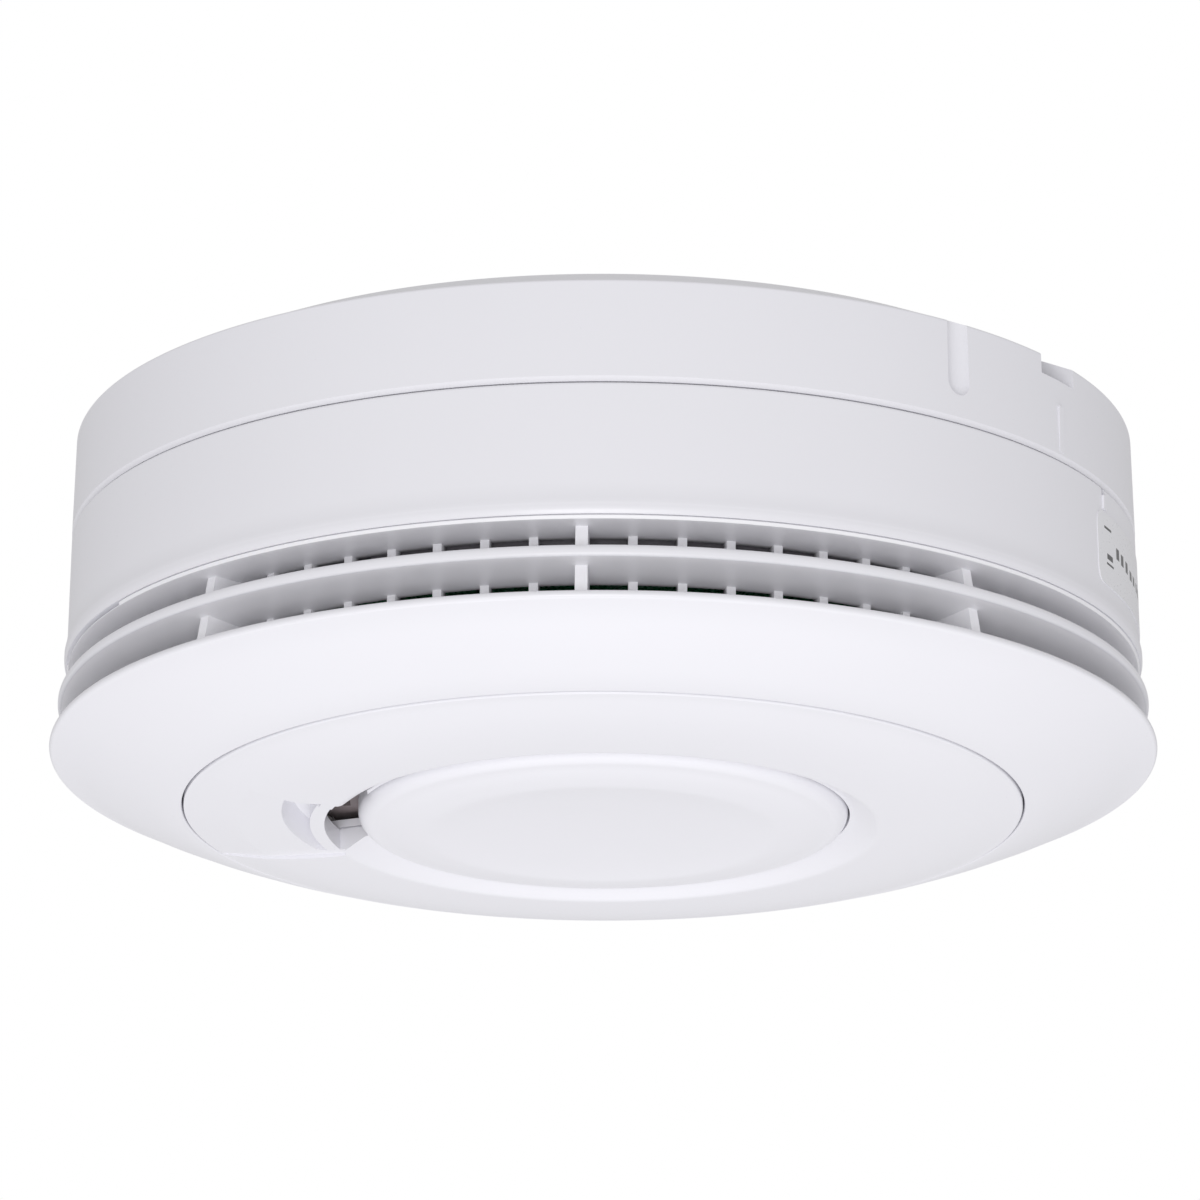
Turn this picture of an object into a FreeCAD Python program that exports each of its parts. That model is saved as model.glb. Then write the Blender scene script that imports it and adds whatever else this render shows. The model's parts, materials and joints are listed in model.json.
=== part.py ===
"""Ceiling smoke detector: twist-lock mounting base, detector head, pressable test button.

Units are millimetres. +Z points up into the ceiling, and the detector hangs below it. Angles are
degrees anticlockwise from +X, seen from above. The sound outlet is on the -X side. Heights in this
file count from a level that is CEILING_Z below the ceiling face; write() lowers every piece by as
much, so that in the written files the origin is the centre of the ceiling face. Each function makes
one piece, and each piece is written to parts/ as its own STEP file.
"""
import FreeCAD, Part
import math
import os

from FreeCAD import Vector

# ---- driving dimensions -------------------------------------------------------------------------
TURN = 360.0

# Mounting base
CEILING_Z = 1.24
BASE_TOP_R = 48.9
BASE_SHOULDER_R = 55.0
BASE_SHOULDER_Z = -1.52
BASE_EDGE_R = 55.3
BASE_FOOT_R = 55.6
BASE_BOTTOM_Z = -12.2
BASE_WALL = 1.8
BASE_PLATE = 2.0
PLATE_UNDER_Z = CEILING_Z - BASE_PLATE
ABOVE_BASE_Z = CEILING_Z + 1.0
CABLE_HOLE_R = 14.0
CABLE_COLLAR = 1.4
WINDOW_ANGLES = (45.0, 135.0, 225.0, 315.0)
WINDOW_INNER_R = 26.0
WINDOW_OUTER_R = 38.0
WINDOW_SPAN = 34.0
SCREW_SPACING = 60.0
SCREW_SLOT_R = 2.2
SCREW_SLOT_LENGTH = 8.0
CABLE_NOTCH_ANGLE = -33.5
CABLE_NOTCH_SPAN = 6.6
CABLE_NOTCH_Z = -3.7
CABLE_NOTCH_INNER_R = 49.0
FLUTE_ANGLE = -50.2
FLUTE_R = 1.5
FLUTE_BOTTOM_Z = -7.9
BASE_MARK_ANGLE = -33.4
MARK_WIDTH = 0.9
MARK_PROUD = 0.25

# Twist lock
TWIST = 10.0
BODY_MARK_ANGLE = BASE_MARK_ANGLE + TWIST
LUG_ANGLES = (60.0, 180.0, 300.0)
LUG_SPAN = 9.0
LUG_TOP_Z = -7.8
LUG_THICKNESS = 1.6
LUG_OUTER_R = 52.3
LUG_GAP = 0.25
LEDGE_INNER_R = 49.0
LEDGE_THICKNESS = 1.6
STOP_SPAN = 1.5
STOP_GAP = 0.6
STOP_INNER_R = 50.4
STOP_TOP_Z = -1.3

# Detector head
HEAD_GAP = 0.15
HEAD_TOP_Z = BASE_BOTTOM_Z - HEAD_GAP
NECK_R = 47.5
NECK_WALL = 1.8
DECK_TOP_Z = -5.2
DECK = 1.8
HEAD_SHOULDER_R = 55.6
HEAD_WAIST_R = 55.82
HEAD_WAIST_Z = -22.85
LIP_R = 56.12
LIP_Z = -25.1
LIP_FOOT_R = 55.95
HEAD_BOTTOM_Z = -26.05
HEAD_INNER_R = 53.8

# Vented front cover
VENT_TOP_Z = -26.5
COVER_TOP_R = LIP_FOOT_R - 0.1
PRY_GAP_ANGLE = -163.2
PRY_GAP_SPAN = 23.5
PRY_GAP_INNER_R = 54.9
PRY_GAP_LOW_Z = -26.4
PRY_GAP_TOP_Z = -25.9
CAGE_OUTER_R = 50.0
CAGE_INNER_R = 48.6
FIN_R = 56.7
FIN_TOP_Z = -29.35
FIN_ROOT_R = 49.1
FIN_ROOT_Z = -31.3
RIM_R = 57.5
RIM_TOP_Z = -34.25
SEAM_R = 43.7
SEAM_Z = -40.55
LEDGE_R = 41.6
MAIN_RIBS = 8
MAIN_RIB_ANGLE = -92.3
MAIN_RIB_WIDTH = 1.24
CAGE_BARS = 64
CAGE_BAR_WIDTH = 0.92

# Front panel, sound outlet and test button
PANEL_R = 43.5
PANEL_TOP_Z = -40.2
COLLAR_TOP_Z = -39.3
COLLAR_OUTER_R = 26.9
COLLAR_CUT_SPAN = 60.0
HOOK_TOP_Z = -37.2
HOOK_ANGLES = (45.0, 135.0, 225.0, 315.0)
BELOW_ALL_Z = -44.0
PANEL_EDGE_Z = -40.76
BOWL_R = 28.5
BOWL_Z = -42.55
BUTTON_HOLE_R = 25.6
BUTTON_R = 25.4
BUTTON_TOP_Z = -39.6
DISH_R = 18.2
DISH_EDGE_Z = -43.15
DISH_CENTRE_Z = -42.6
BUTTON_CREST_R = 23.6
BUTTON_CREST_Z = -42.4
BUTTON_WALL = 1.6
BUTTON_CEILING_Z = -41.1
OUTLET_HALF_WIDTH = 9.4
OUTLET_ROOF_Z = -40.0
UPSTAND_TOP_Z = -39.1
UPSTAND_WALL = 1.0
BRIDGE_INNER_R = 28.9
BRIDGE_OUTER_R = 30.4
FINGER_RECESS_X = -4.3
FINGER_RECESS_Y = -3.9
FINGER_RECESS_R = 29.2
FINGER_RECESS_TOP_R = 27.8
FACET_DEPTH = 0.22
JOINT_LINE = 0.2
JOINT_LINE_DEPTH = 0.4

# Circuit board and smoke chamber
BOARD_R = 44.5
BOARD_TOP_Z = -22.8
BOARD = 1.6
BOARD_BOTTOM_Z = BOARD_TOP_Z - BOARD
BOSS_R_POSITION = 41.0
BOARD_BOSS_ANGLES = (90.0, 210.0, 330.0)
COVER_BOSS_POSITION = 51.1
COVER_BOSS_ANGLES = (45.0, 165.0, 285.0)
CHAMBER_X = 14.0
CHAMBER_R = 22.6
CHAMBER_FLOOR_Z = -26.3
CHAMBER_LID_Z = -35.4
CHAMBER_BOTTOM_Z = -36.9
VANES = 18
EMITTER_ANGLE = 200.0
SENSOR_ANGLE = 65.0
OPTICS_Z = -30.4

# Sounder
HORN_X = -26.5
HORN_R = 14.6
HORN_WALL = 1.0
HORN_BOTTOM_Z = -38.3
DISC_SEAT_Z = -31.3
DISC_R = 13.4

# Battery, switches and light
CELL_R = 7.2
CELL_LENGTH = 49.2
CELL_Y = 8.6
CELL_Z = -14.6
POST_X = -8.0
POST_Y = -18.0
POST_R = 2.0
SWITCH_BODY_Z = BOARD_BOTTOM_Z - 3.5
PLUNGER_TIP_Z = -29.4
POST_GAP = 0.85
SLIDER_R = 24.0
PEG_R = 1.5
PEG_TIP_Z = -8.7
PIPE_X = -28.9
PIPE_Y = 16.5
PIPE_R = 0.85
PIPE_LEG_Z = -39.25
CLIP_LOW_Z = -34.0
CLIP_TOP_Z = -30.5
SPRING_R = 4.5
SPRING_WIRE = 0.5

AXIS = Vector(0, 0, 1)
CENTRE = Vector(0, 0, 0)


# ---- helpers ------------------------------------------------------------------------------------
def polar(radius, angle, z=0.0):
    """A point at a radius and angle around the Z axis."""
    turn = math.radians(angle)
    return Vector(radius * math.cos(turn), radius * math.sin(turn), z)


def outline(points):
    """A closed wire in the XZ plane. A point is (r, z); (r, z, mid_r, mid_z) arrives by an arc."""
    edges = []
    places = [Vector(p[0], 0, p[1]) for p in points]
    for index, point in enumerate(points):
        start = places[index - 1]
        end = places[index]
        if len(point) == 4:
            edges.append(Part.Arc(start, Vector(point[2], 0, point[3]), end).toShape())
        else:
            edges.append(Part.makeLine(start, end))
    return Part.Wire(edges)


def turned(points, start=0.0, sweep=TURN):
    """The solid that an outline makes as it turns about the Z axis."""
    face = Part.Face(outline(points))
    solid = face.revolve(CENTRE, AXIS, sweep)
    if start:
        solid.rotate(CENTRE, AXIS, start)
    return solid


def ring(inner, outer, low, high, start=0.0, sweep=TURN):
    """A ring, or a sector of one, between two radii and two heights."""
    return turned([(inner, low), (outer, low), (outer, high), (inner, high)], start, sweep)


def sector(inner, outer, low, high, middle, span):
    """A sector of a ring given by its middle angle and its span."""
    return ring(inner, outer, low, high, middle - span / 2, span)


def rod(radius, low, high, x=0.0, y=0.0):
    """An upright cylinder."""
    return Part.makeCylinder(radius, high - low, Vector(x, y, low))


def block(x_low, x_high, y_low, y_high, z_low, z_high):
    """A box between two corners."""
    size = (x_high - x_low, y_high - y_low, z_high - z_low)
    return Part.makeBox(size[0], size[1], size[2], Vector(x_low, y_low, z_low))


def centred_block(x, y, length, width, low, high):
    """A box standing on a point, length along X and width along Y."""
    return block(x - length / 2, x + length / 2, y - width / 2, y + width / 2, low, high)


def radial_block(inner, outer, width, low, high, angle):
    """A box that lies along a radius."""
    solid = block(inner, outer, -width / 2, width / 2, low, high)
    solid.rotate(CENTRE, AXIS, angle)
    return solid


def plate(points, low, high):
    """An upright prism over a plan outline of (x, y) points."""
    corners = [Vector(x, y, low) for x, y in points]
    return Part.Face(Part.makePolygon(corners + corners[:1])).extrude(Vector(0, 0, high - low))


def joined(shapes):
    """One solid made of touching or overlapping shapes."""
    return shapes[0].multiFuse(shapes[1:]).removeSplitter()


def without(shape, cutters):
    """A shape less every cutter."""
    return shape.cut(Part.makeCompound(cutters))


def write(name, shape):
    """Lower one piece so that the ceiling face is at zero, write it, and say what it holds."""
    shape.translate(Vector(0, 0, -CEILING_Z))
    solids = shape.Solids
    print(name, "solids", len(solids), "volume", round(shape.Volume, 1), "valid", shape.isValid())
    shape = solids[0] if len(solids) == 1 else Part.makeCompound(solids)
    shape.exportStep("parts/" + name + ".step")


def wall_radius(z):
    """Outer radius of the head's side wall, which widens downwards as far as its waist."""
    top = HEAD_TOP_Z - 0.3
    share = (top - z) / (top - HEAD_WAIST_Z)
    return HEAD_SHOULDER_R + (HEAD_WAIST_R - HEAD_SHOULDER_R) * share


def screw(head_r, head_height, shank_r, length, place, cross):
    """A pan head screw, head down at the place, shank upwards, with a cross recess."""
    head = Part.makeCylinder(head_r, head_height, place)
    shank = Part.makeCylinder(shank_r, length, place + Vector(0, 0, head_height))
    slots = []
    for long_x, long_y in ((cross, 0.5), (0.5, cross)):
        corner = place + Vector(-long_x / 2, -long_y / 2, 0)
        slots.append(Part.makeBox(long_x, long_y, head_height * 0.6, corner))
    return head.fuse(shank).removeSplitter().cut(slots[0].fuse(slots[1]))


# ---- mounting base ------------------------------------------------------------------------------
def mounting_base():
    """Ceiling plate and skirt, with screw slots, twist-lock ledges and a cable knock-out notch."""
    inner = BASE_FOOT_R - 0.4 - BASE_WALL
    body = turned([
        (CABLE_HOLE_R, CEILING_Z),
        (BASE_TOP_R, CEILING_Z),
        (BASE_SHOULDER_R, BASE_SHOULDER_Z),
        (BASE_EDGE_R, BASE_SHOULDER_Z - 0.33, BASE_EDGE_R - 0.08, BASE_SHOULDER_Z - 0.11),
        (BASE_FOOT_R, BASE_BOTTOM_Z + 0.5),
        (BASE_FOOT_R - 0.3, BASE_BOTTOM_Z),
        (inner, BASE_BOTTOM_Z),
        (inner - 0.2, BASE_SHOULDER_Z - 1.58),
        (BASE_TOP_R - 0.7, PLATE_UNDER_Z),
        (CABLE_HOLE_R, PLATE_UNDER_Z),
    ])
    collar = ring(CABLE_HOLE_R, CABLE_HOLE_R + CABLE_COLLAR, PLATE_UNDER_Z - 1.6, PLATE_UNDER_Z)
    parts = [body, collar]
    ledge_top = LUG_TOP_Z - LUG_THICKNESS - LUG_GAP
    ledge_low = ledge_top - LEDGE_THICKNESS
    for angle in LUG_ANGLES:
        parts.append(sector(LEDGE_INNER_R, inner + 0.2, ledge_low, ledge_top, angle, LUG_SPAN))
        locked = angle + LUG_SPAN / 2 + STOP_GAP
        released = angle - LUG_SPAN / 2 - TWIST - STOP_GAP - STOP_SPAN
        for start in (locked, released):
            parts.append(ring(STOP_INNER_R, inner + 0.2, ledge_low, STOP_TOP_Z, start, STOP_SPAN))
    peg = rod(PEG_R, PEG_TIP_Z, PLATE_UNDER_Z, 0, SLIDER_R)
    mark = radial_block(BASE_FOOT_R - 1.0, BASE_FOOT_R + MARK_PROUD - 0.2, MARK_WIDTH,
                        BASE_BOTTOM_Z + 0.8, -6.5, BASE_MARK_ANGLE)
    body = joined(parts + [peg, mark])
    cutters = []
    half_slot = (SCREW_SLOT_LENGTH - 2 * SCREW_SLOT_R) / 2
    low = PLATE_UNDER_Z - 1.0
    for side in (-1, 1):
        x = side * SCREW_SPACING / 2
        for end in (-half_slot, half_slot):
            cutters.append(rod(SCREW_SLOT_R, low, ABOVE_BASE_Z, x + end, 0))
        cutters.append(centred_block(x, 0, 2 * half_slot, 2 * SCREW_SLOT_R, low, ABOVE_BASE_Z))
    for angle in WINDOW_ANGLES:
        cutters.append(sector(WINDOW_INNER_R, WINDOW_OUTER_R, low, ABOVE_BASE_Z, angle, WINDOW_SPAN))
    flute_place = polar(BASE_SHOULDER_R + 0.95, FLUTE_ANGLE)
    cutters.append(rod(FLUTE_R, FLUTE_BOTTOM_Z, ABOVE_BASE_Z, flute_place.x, flute_place.y))
    cutters.append(Part.makeSphere(FLUTE_R, flute_place + Vector(0, 0, FLUTE_BOTTOM_Z)))
    cutters.append(sector(CABLE_NOTCH_INNER_R, BASE_FOOT_R + 1.0, CABLE_NOTCH_Z, ABOVE_BASE_Z,
                          CABLE_NOTCH_ANGLE, CABLE_NOTCH_SPAN))
    return without(body, cutters)


# ---- rear half of the head ----------------------------------------------------------------------
def rear_housing():
    """Deck, neck, shoulder and side wall of the head, with lugs, bosses and slider rails."""
    neck_inner = NECK_R - NECK_WALL
    shoulder_under = HEAD_TOP_Z - 1.85
    body = turned([
        (0, DECK_TOP_Z),
        (NECK_R - 0.6, DECK_TOP_Z),
        (NECK_R, DECK_TOP_Z - 0.6),
        (NECK_R, HEAD_TOP_Z),
        (HEAD_SHOULDER_R - 0.3, HEAD_TOP_Z),
        (HEAD_SHOULDER_R, HEAD_TOP_Z - 0.3, HEAD_SHOULDER_R - 0.09, HEAD_TOP_Z - 0.09),
        (HEAD_WAIST_R, HEAD_WAIST_Z),
        (LIP_R, LIP_Z + 0.2, HEAD_WAIST_R + 0.1, HEAD_WAIST_Z - 1.1),
        (LIP_R, LIP_Z),
        (LIP_FOOT_R, HEAD_BOTTOM_Z, LIP_R - 0.02, LIP_Z - 0.55),
        (HEAD_INNER_R, HEAD_BOTTOM_Z),
        (HEAD_INNER_R - 0.1, shoulder_under),
        (neck_inner, shoulder_under),
        (neck_inner, DECK_TOP_Z - DECK),
        (0, DECK_TOP_Z - DECK),
    ])
    parts = [body]
    lug_low = LUG_TOP_Z - LUG_THICKNESS
    for angle in LUG_ANGLES:
        parts.append(sector(NECK_R - 0.5, LUG_OUTER_R, lug_low, LUG_TOP_Z, angle, LUG_SPAN))
    for angle in BOARD_BOSS_ANGLES:
        place = polar(BOSS_R_POSITION, angle)
        parts.append(rod(3.0, BOARD_TOP_Z, DECK_TOP_Z - DECK, place.x, place.y))
        parts.append(radial_block(BOSS_R_POSITION + 2, neck_inner + 0.2, 1.2, BOARD_TOP_Z + 8,
                                  DECK_TOP_Z - DECK, angle))
    for y in (SLIDER_R - 5.3, SLIDER_R + 3.9):
        parts.append(block(-9.0, 5.0, y, y + 1.4, -10.0, DECK_TOP_Z - DECK))
    mark = radial_block(HEAD_SHOULDER_R - 1, HEAD_SHOULDER_R + MARK_PROUD, 0.8, HEAD_TOP_Z - 2.4,
                        HEAD_TOP_Z - 0.9, BODY_MARK_ANGLE)
    body = joined(parts + [mark])
    cutters = [radial_block(HEAD_SHOULDER_R - 0.7, 58, 0.9, HEAD_TOP_Z - 0.9, HEAD_TOP_Z + 1,
                            BODY_MARK_ANGLE)]
    for angle in BOARD_BOSS_ANGLES:
        place = polar(BOSS_R_POSITION, angle)
        cutters.append(rod(1.1, BOARD_TOP_Z - 1, BOARD_TOP_Z + 8, place.x, place.y))
    for angle in COVER_BOSS_ANGLES:
        place = polar(COVER_BOSS_POSITION, angle)
        cutters.append(rod(2.45, HEAD_TOP_Z - 1.0, HEAD_TOP_Z + 1, place.x, place.y))
        cutters.append(rod(1.3, HEAD_TOP_Z - 3, HEAD_TOP_Z, place.x, place.y))
    slot = ring(SLIDER_R - 2.0, SLIDER_R + 2.0, -9, -4, 84.5, TWIST + 11.0)
    return without(body, cutters + [slot])


def cover_screws():
    """Three screws that go down through the shoulder into the front cover's bosses."""
    screws = []
    for angle in COVER_BOSS_ANGLES:
        place = polar(COVER_BOSS_POSITION, angle)
        one = screw(2.35, 0.9, 1.2, 8.0, Vector(0, 0, 0), 2.4)
        one.rotate(CENTRE, Vector(1, 0, 0), 180)
        one.translate(Vector(place.x, place.y, HEAD_TOP_Z - 0.1))
        screws.append(one)
    return Part.makeCompound(screws)


def board_screws():
    """Three screws that hold the circuit board to the rear housing's bosses."""
    screws = []
    for angle in BOARD_BOSS_ANGLES:
        place = polar(BOSS_R_POSITION, angle, BOARD_BOTTOM_Z - 1.6)
        screws.append(screw(2.3, 1.6, 1.05, 7.0, place, 2.4))
    return Part.makeCompound(screws)


def date_label():
    """Sticker with rounded corners on the head's side wall."""
    top, low, thickness, start, sweep = -15.0, -22.8, 0.1, -25.6, 30.0
    strip = turned([
        (wall_radius(low), low),
        (wall_radius(low) + thickness, low),
        (wall_radius(top) + thickness, top),
        (wall_radius(top), top),
    ], start, sweep)
    corners = [e for e in strip.Edges if abs(e.Length - thickness) < 0.01]
    return strip.makeFillet(1.4, corners)


def rating_label():
    """Blank data plate on the hidden rear deck."""
    return centred_block(0, -20.0, 44.0, 22.0, DECK_TOP_Z, DECK_TOP_Z + 0.12)


# ---- vented front cover -------------------------------------------------------------------------
def front_cover():
    """Vent rings, ribs, bar cage and outer dome, moulded as one piece."""
    top_ring = turned([
        (CAGE_INNER_R - 0.2, -25.0),
        (52.4, -25.0),
        (52.4, -23.4),
        (HEAD_INNER_R - 0.2, -23.4),
        (HEAD_INNER_R - 0.2, HEAD_BOTTOM_Z - 0.05),
        (COVER_TOP_R - 0.08, HEAD_BOTTOM_Z - 0.05),
        (COVER_TOP_R, HEAD_BOTTOM_Z - 0.15),
        (COVER_TOP_R - 0.15, VENT_TOP_Z),
        (CAGE_INNER_R - 0.2, VENT_TOP_Z),
    ])
    fin = turned([
        (FIN_ROOT_R, FIN_TOP_Z - 0.6),
        (FIN_R - 0.5, FIN_TOP_Z),
        (FIN_R, FIN_TOP_Z - 0.85, FIN_R - 0.1, FIN_TOP_Z - 0.35),
        (FIN_R - 0.35, FIN_TOP_Z - 1.25, FIN_R - 0.08, FIN_TOP_Z - 1.12),
        (FIN_ROOT_R, FIN_ROOT_Z),
    ])
    dome = turned([
        (CAGE_INNER_R - 0.1, -37.2),
        (LEDGE_R + 3.0, -38.0),
        (LEDGE_R, -38.0),
        (LEDGE_R, -39.0),
        (SEAM_R, -39.0),
        (SEAM_R, SEAM_Z + 0.15),
        (SEAM_R + 0.2, SEAM_Z - 0.03, SEAM_R + 0.05, SEAM_Z + 0.03),
        (RIM_R - 0.4, RIM_TOP_Z - 0.95, 50.7, -38.17),
        (RIM_R, RIM_TOP_Z - 0.45, RIM_R - 0.05, RIM_TOP_Z - 0.72),
        (RIM_R - 0.6, RIM_TOP_Z, RIM_R - 0.2, RIM_TOP_Z - 0.12),
    ])
    parts = [top_ring, fin, dome]
    for index in range(CAGE_BARS):
        angle = MAIN_RIB_ANGLE + index * TURN / CAGE_BARS
        parts.append(radial_block(CAGE_INNER_R, CAGE_OUTER_R, CAGE_BAR_WIDTH, -37.4, -25.2, angle))
    rib_plan = [(CAGE_INNER_R, -26.3), (53.25, -26.3), (55.0, -35.2), (CAGE_INNER_R, -37.5)]
    for index in range(MAIN_RIBS):
        rib = Part.Face(outline(rib_plan)).extrude(Vector(0, MAIN_RIB_WIDTH, 0))
        rib.translate(Vector(0, -MAIN_RIB_WIDTH / 2, 0))
        rib.rotate(CENTRE, AXIS, MAIN_RIB_ANGLE + index * TURN / MAIN_RIBS)
        parts.append(rib)
    baffle_gap_start = MAIN_RIB_ANGLE - 41.0
    parts.append(ring(CAGE_INNER_R - 1.2, CAGE_INNER_R + 0.1, -28.2, -25.6,
                      baffle_gap_start + 15.0, TURN - 15.0))
    for angle in COVER_BOSS_ANGLES:
        place = polar(COVER_BOSS_POSITION, angle)
        parts.append(rod(2.3, -25.2, HEAD_TOP_Z - 1.85, place.x, place.y))
    cutters = [sector(PRY_GAP_INNER_R, LIP_R, PRY_GAP_LOW_Z, PRY_GAP_TOP_Z, PRY_GAP_ANGLE, PRY_GAP_SPAN)]
    for angle in COVER_BOSS_ANGLES:
        place = polar(COVER_BOSS_POSITION, angle)
        cutters.append(rod(1.25, -23.0, HEAD_TOP_Z, place.x, place.y))
    return without(joined(parts), cutters)


# ---- front panel --------------------------------------------------------------------------------
def outlet_plan(inner, outer, low, high, half_width=OUTLET_HALF_WIDTH):
    """A part-ring on the -X side, as wide as the sound outlet."""
    part_ring = ring(inner, outer, low, high, 135.0, 90.0)
    window = block(-60, 0, -half_width, half_width, low, high)
    return part_ring.common(window)


def sound_hole(low, high, half_width=OUTLET_HALF_WIDTH):
    """The through hole between the button and the bridge, which narrows towards the button."""
    taper = plate([(-29.0, -half_width), (-29.0, half_width), (-24.0, half_width - 2.2),
                   (-24.0, 2.2 - half_width)], low, high)
    return taper.common(ring(BUTTON_HOLE_R - 2, BRIDGE_INNER_R, low, high, 135.0, 90.0))


def finger_recess():
    """The pocket on the far side of the bridge, for a finger tip."""
    foot = Vector(FINGER_RECESS_X, FINGER_RECESS_Y, BOWL_Z)
    pocket = Part.makeCone(FINGER_RECESS_R, FINGER_RECESS_TOP_R, OUTLET_ROOF_Z - BOWL_Z, foot)
    return pocket.common(outlet_plan(BRIDGE_OUTER_R, 36.0, BELOW_ALL_Z, OUTLET_ROOF_Z))


def outlet_upstand():
    """Roof over the finger recess, and the wall that leads sound down to the hole."""
    half_width = OUTLET_HALF_WIDTH
    outer = half_width + UPSTAND_WALL
    roof = outlet_plan(BRIDGE_OUTER_R - 0.3, 35.2, OUTLET_ROOF_Z - 0.4, OUTLET_ROOF_Z + 0.6, outer)
    parts = [roof, outlet_plan(BRIDGE_OUTER_R - 0.3, BRIDGE_OUTER_R + 0.7, OUTLET_ROOF_Z - 0.3,
                               UPSTAND_TOP_Z, outer)]
    side_wall = [(-30.5, half_width), (-29.0, half_width), (-24.4, half_width - 2.0),
                 (-24.4, outer - 2.0), (-29.0, outer), (-30.5, outer)]
    parts.append(plate(side_wall, OUTLET_ROOF_Z - 0.3, UPSTAND_TOP_Z))
    return parts


def facet():
    """A shallow wedge that is cut into the dome from the seam to the sound outlet."""
    plan = [(-27.0, -7.0), (-44.5, -16.8), (-44.5, 18.6), (-27.0, 10.2)]
    wedge = plate(plan, BELOW_ALL_Z, -39.0)
    offset_dome = turned([
        (0, BELOW_ALL_Z),
        (0, BOWL_Z + FACET_DEPTH),
        (BOWL_R, BOWL_Z + FACET_DEPTH),
        (38.0, -41.63),
        (PANEL_R, -40.6),
        (PANEL_R + 2, -40.2),
        (PANEL_R + 2, BELOW_ALL_Z),
    ])
    return wedge.common(offset_dome)


def front_panel():
    """Inner dome with a bowl round the button, the sound outlet, its bridge and a finger recess."""
    body = turned([
        (BUTTON_HOLE_R, COLLAR_TOP_Z),
        (COLLAR_OUTER_R, COLLAR_TOP_Z),
        (28.8, PANEL_TOP_Z),
        (33.5, PANEL_TOP_Z),
        (38.0, -39.9),
        (PANEL_R, -39.05),
        (PANEL_R, PANEL_EDGE_Z + 0.25),
        (PANEL_R - 0.25, PANEL_EDGE_Z, PANEL_R - 0.07, PANEL_EDGE_Z + 0.07),
        (38.0, -41.87, 40.6, -41.37),
        (BOWL_R + 0.5, BOWL_Z - 0.01, 33.4, -42.37),
        (BOWL_R - 0.3, BOWL_Z + 0.15, BOWL_R + 0.05, BOWL_Z + 0.02),
        (26.3, -41.35),
        (BUTTON_HOLE_R, -41.15, 25.95, -41.2),
    ])
    hooks = []
    for angle in HOOK_ANGLES:
        hooks.append(sector(LEDGE_R - 1.2, LEDGE_R - 0.2, -39.9, HOOK_TOP_Z, angle, 10.0))
        hooks.append(sector(LEDGE_R - 0.4, LEDGE_R + 0.8, HOOK_TOP_Z - 0.75, HOOK_TOP_Z, angle, 10.0))
    collar_cut = ring(BUTTON_HOLE_R - 1.0, BOWL_R, OUTLET_ROOF_Z, COLLAR_TOP_Z + 0.3,
                      180.0 - COLLAR_CUT_SPAN / 2, COLLAR_CUT_SPAN)
    body = joined([body.cut(collar_cut)] + hooks + outlet_upstand())
    sliver = plate([(-28.4, -5.6), (-26.25, -9.3), (-24.8, -12.3), (-23.6, -14.8), (-22.6, -16.0),
                    (-22.6, -14.7), (-24.2, -11.0), (-24.2, -4.0)], BELOW_ALL_Z, UPSTAND_TOP_Z + 0.5)
    joint_line = sound_hole(OUTLET_ROOF_Z - JOINT_LINE / 2, OUTLET_ROOF_Z + JOINT_LINE / 2,
                            OUTLET_HALF_WIDTH + JOINT_LINE_DEPTH)
    pipe_bore = Part.makeCylinder(PIPE_R + 0.05, 3.0, Vector(PIPE_X, OUTLET_HALF_WIDTH - 0.5,
                                                             PIPE_LEG_Z), Vector(0, 1, 0))
    return without(body, [facet(), sound_hole(BELOW_ALL_Z, UPSTAND_TOP_Z + 0.5), sliver, finger_recess(),
                          joint_line, pipe_bore])


# ---- test button --------------------------------------------------------------------------------
def test_button():
    """Round cap with a shallow dish, three retaining hooks and a post to the test switch."""
    wall_inner = BUTTON_R - BUTTON_WALL
    body = turned([
        (0, DISH_CENTRE_Z),
        (DISH_R - 1.3, DISH_EDGE_Z + 0.09, DISH_R / 2, DISH_CENTRE_Z - 0.12),
        (DISH_R + 1.2, DISH_EDGE_Z + 0.07, DISH_R, DISH_EDGE_Z - 0.01),
        (BUTTON_CREST_R, BUTTON_CREST_Z, 21.2, DISH_EDGE_Z + 0.25),
        (BUTTON_R, BUTTON_CREST_Z + 1.5, BUTTON_R - 0.5, BUTTON_CREST_Z + 0.5),
        (BUTTON_R, BUTTON_TOP_Z),
        (wall_inner, BUTTON_TOP_Z),
        (wall_inner, BUTTON_CEILING_Z),
        (0, BUTTON_CEILING_Z),
    ])
    post_top = PLUNGER_TIP_Z - POST_GAP
    parts = [body, rod(POST_R, BUTTON_CEILING_Z - 0.3, post_top, POST_X, POST_Y)]
    parts.append(ring(SPRING_R - 1.5, SPRING_R - 0.7, BUTTON_CEILING_Z - 0.3, BUTTON_CEILING_Z + 1))
    for angle in (0.0, 110.0, 250.0):
        parts.append(sector(wall_inner, BUTTON_R, BUTTON_TOP_Z - 0.3, -38.2, angle, 14.0))
        parts.append(sector(wall_inner, 26.8, -39.0, -38.2, angle, 14.0))
    for angle in (20.0, 80.0, 140.0):
        parts.append(radial_block(-wall_inner - 0.2, -8.0, 1.2, BUTTON_CEILING_Z - 0.2, -40.0, angle))
        parts.append(radial_block(8.0, wall_inner + 0.2, 1.2, BUTTON_CEILING_Z - 0.2, -40.0, angle))
    return joined(parts)


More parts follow.
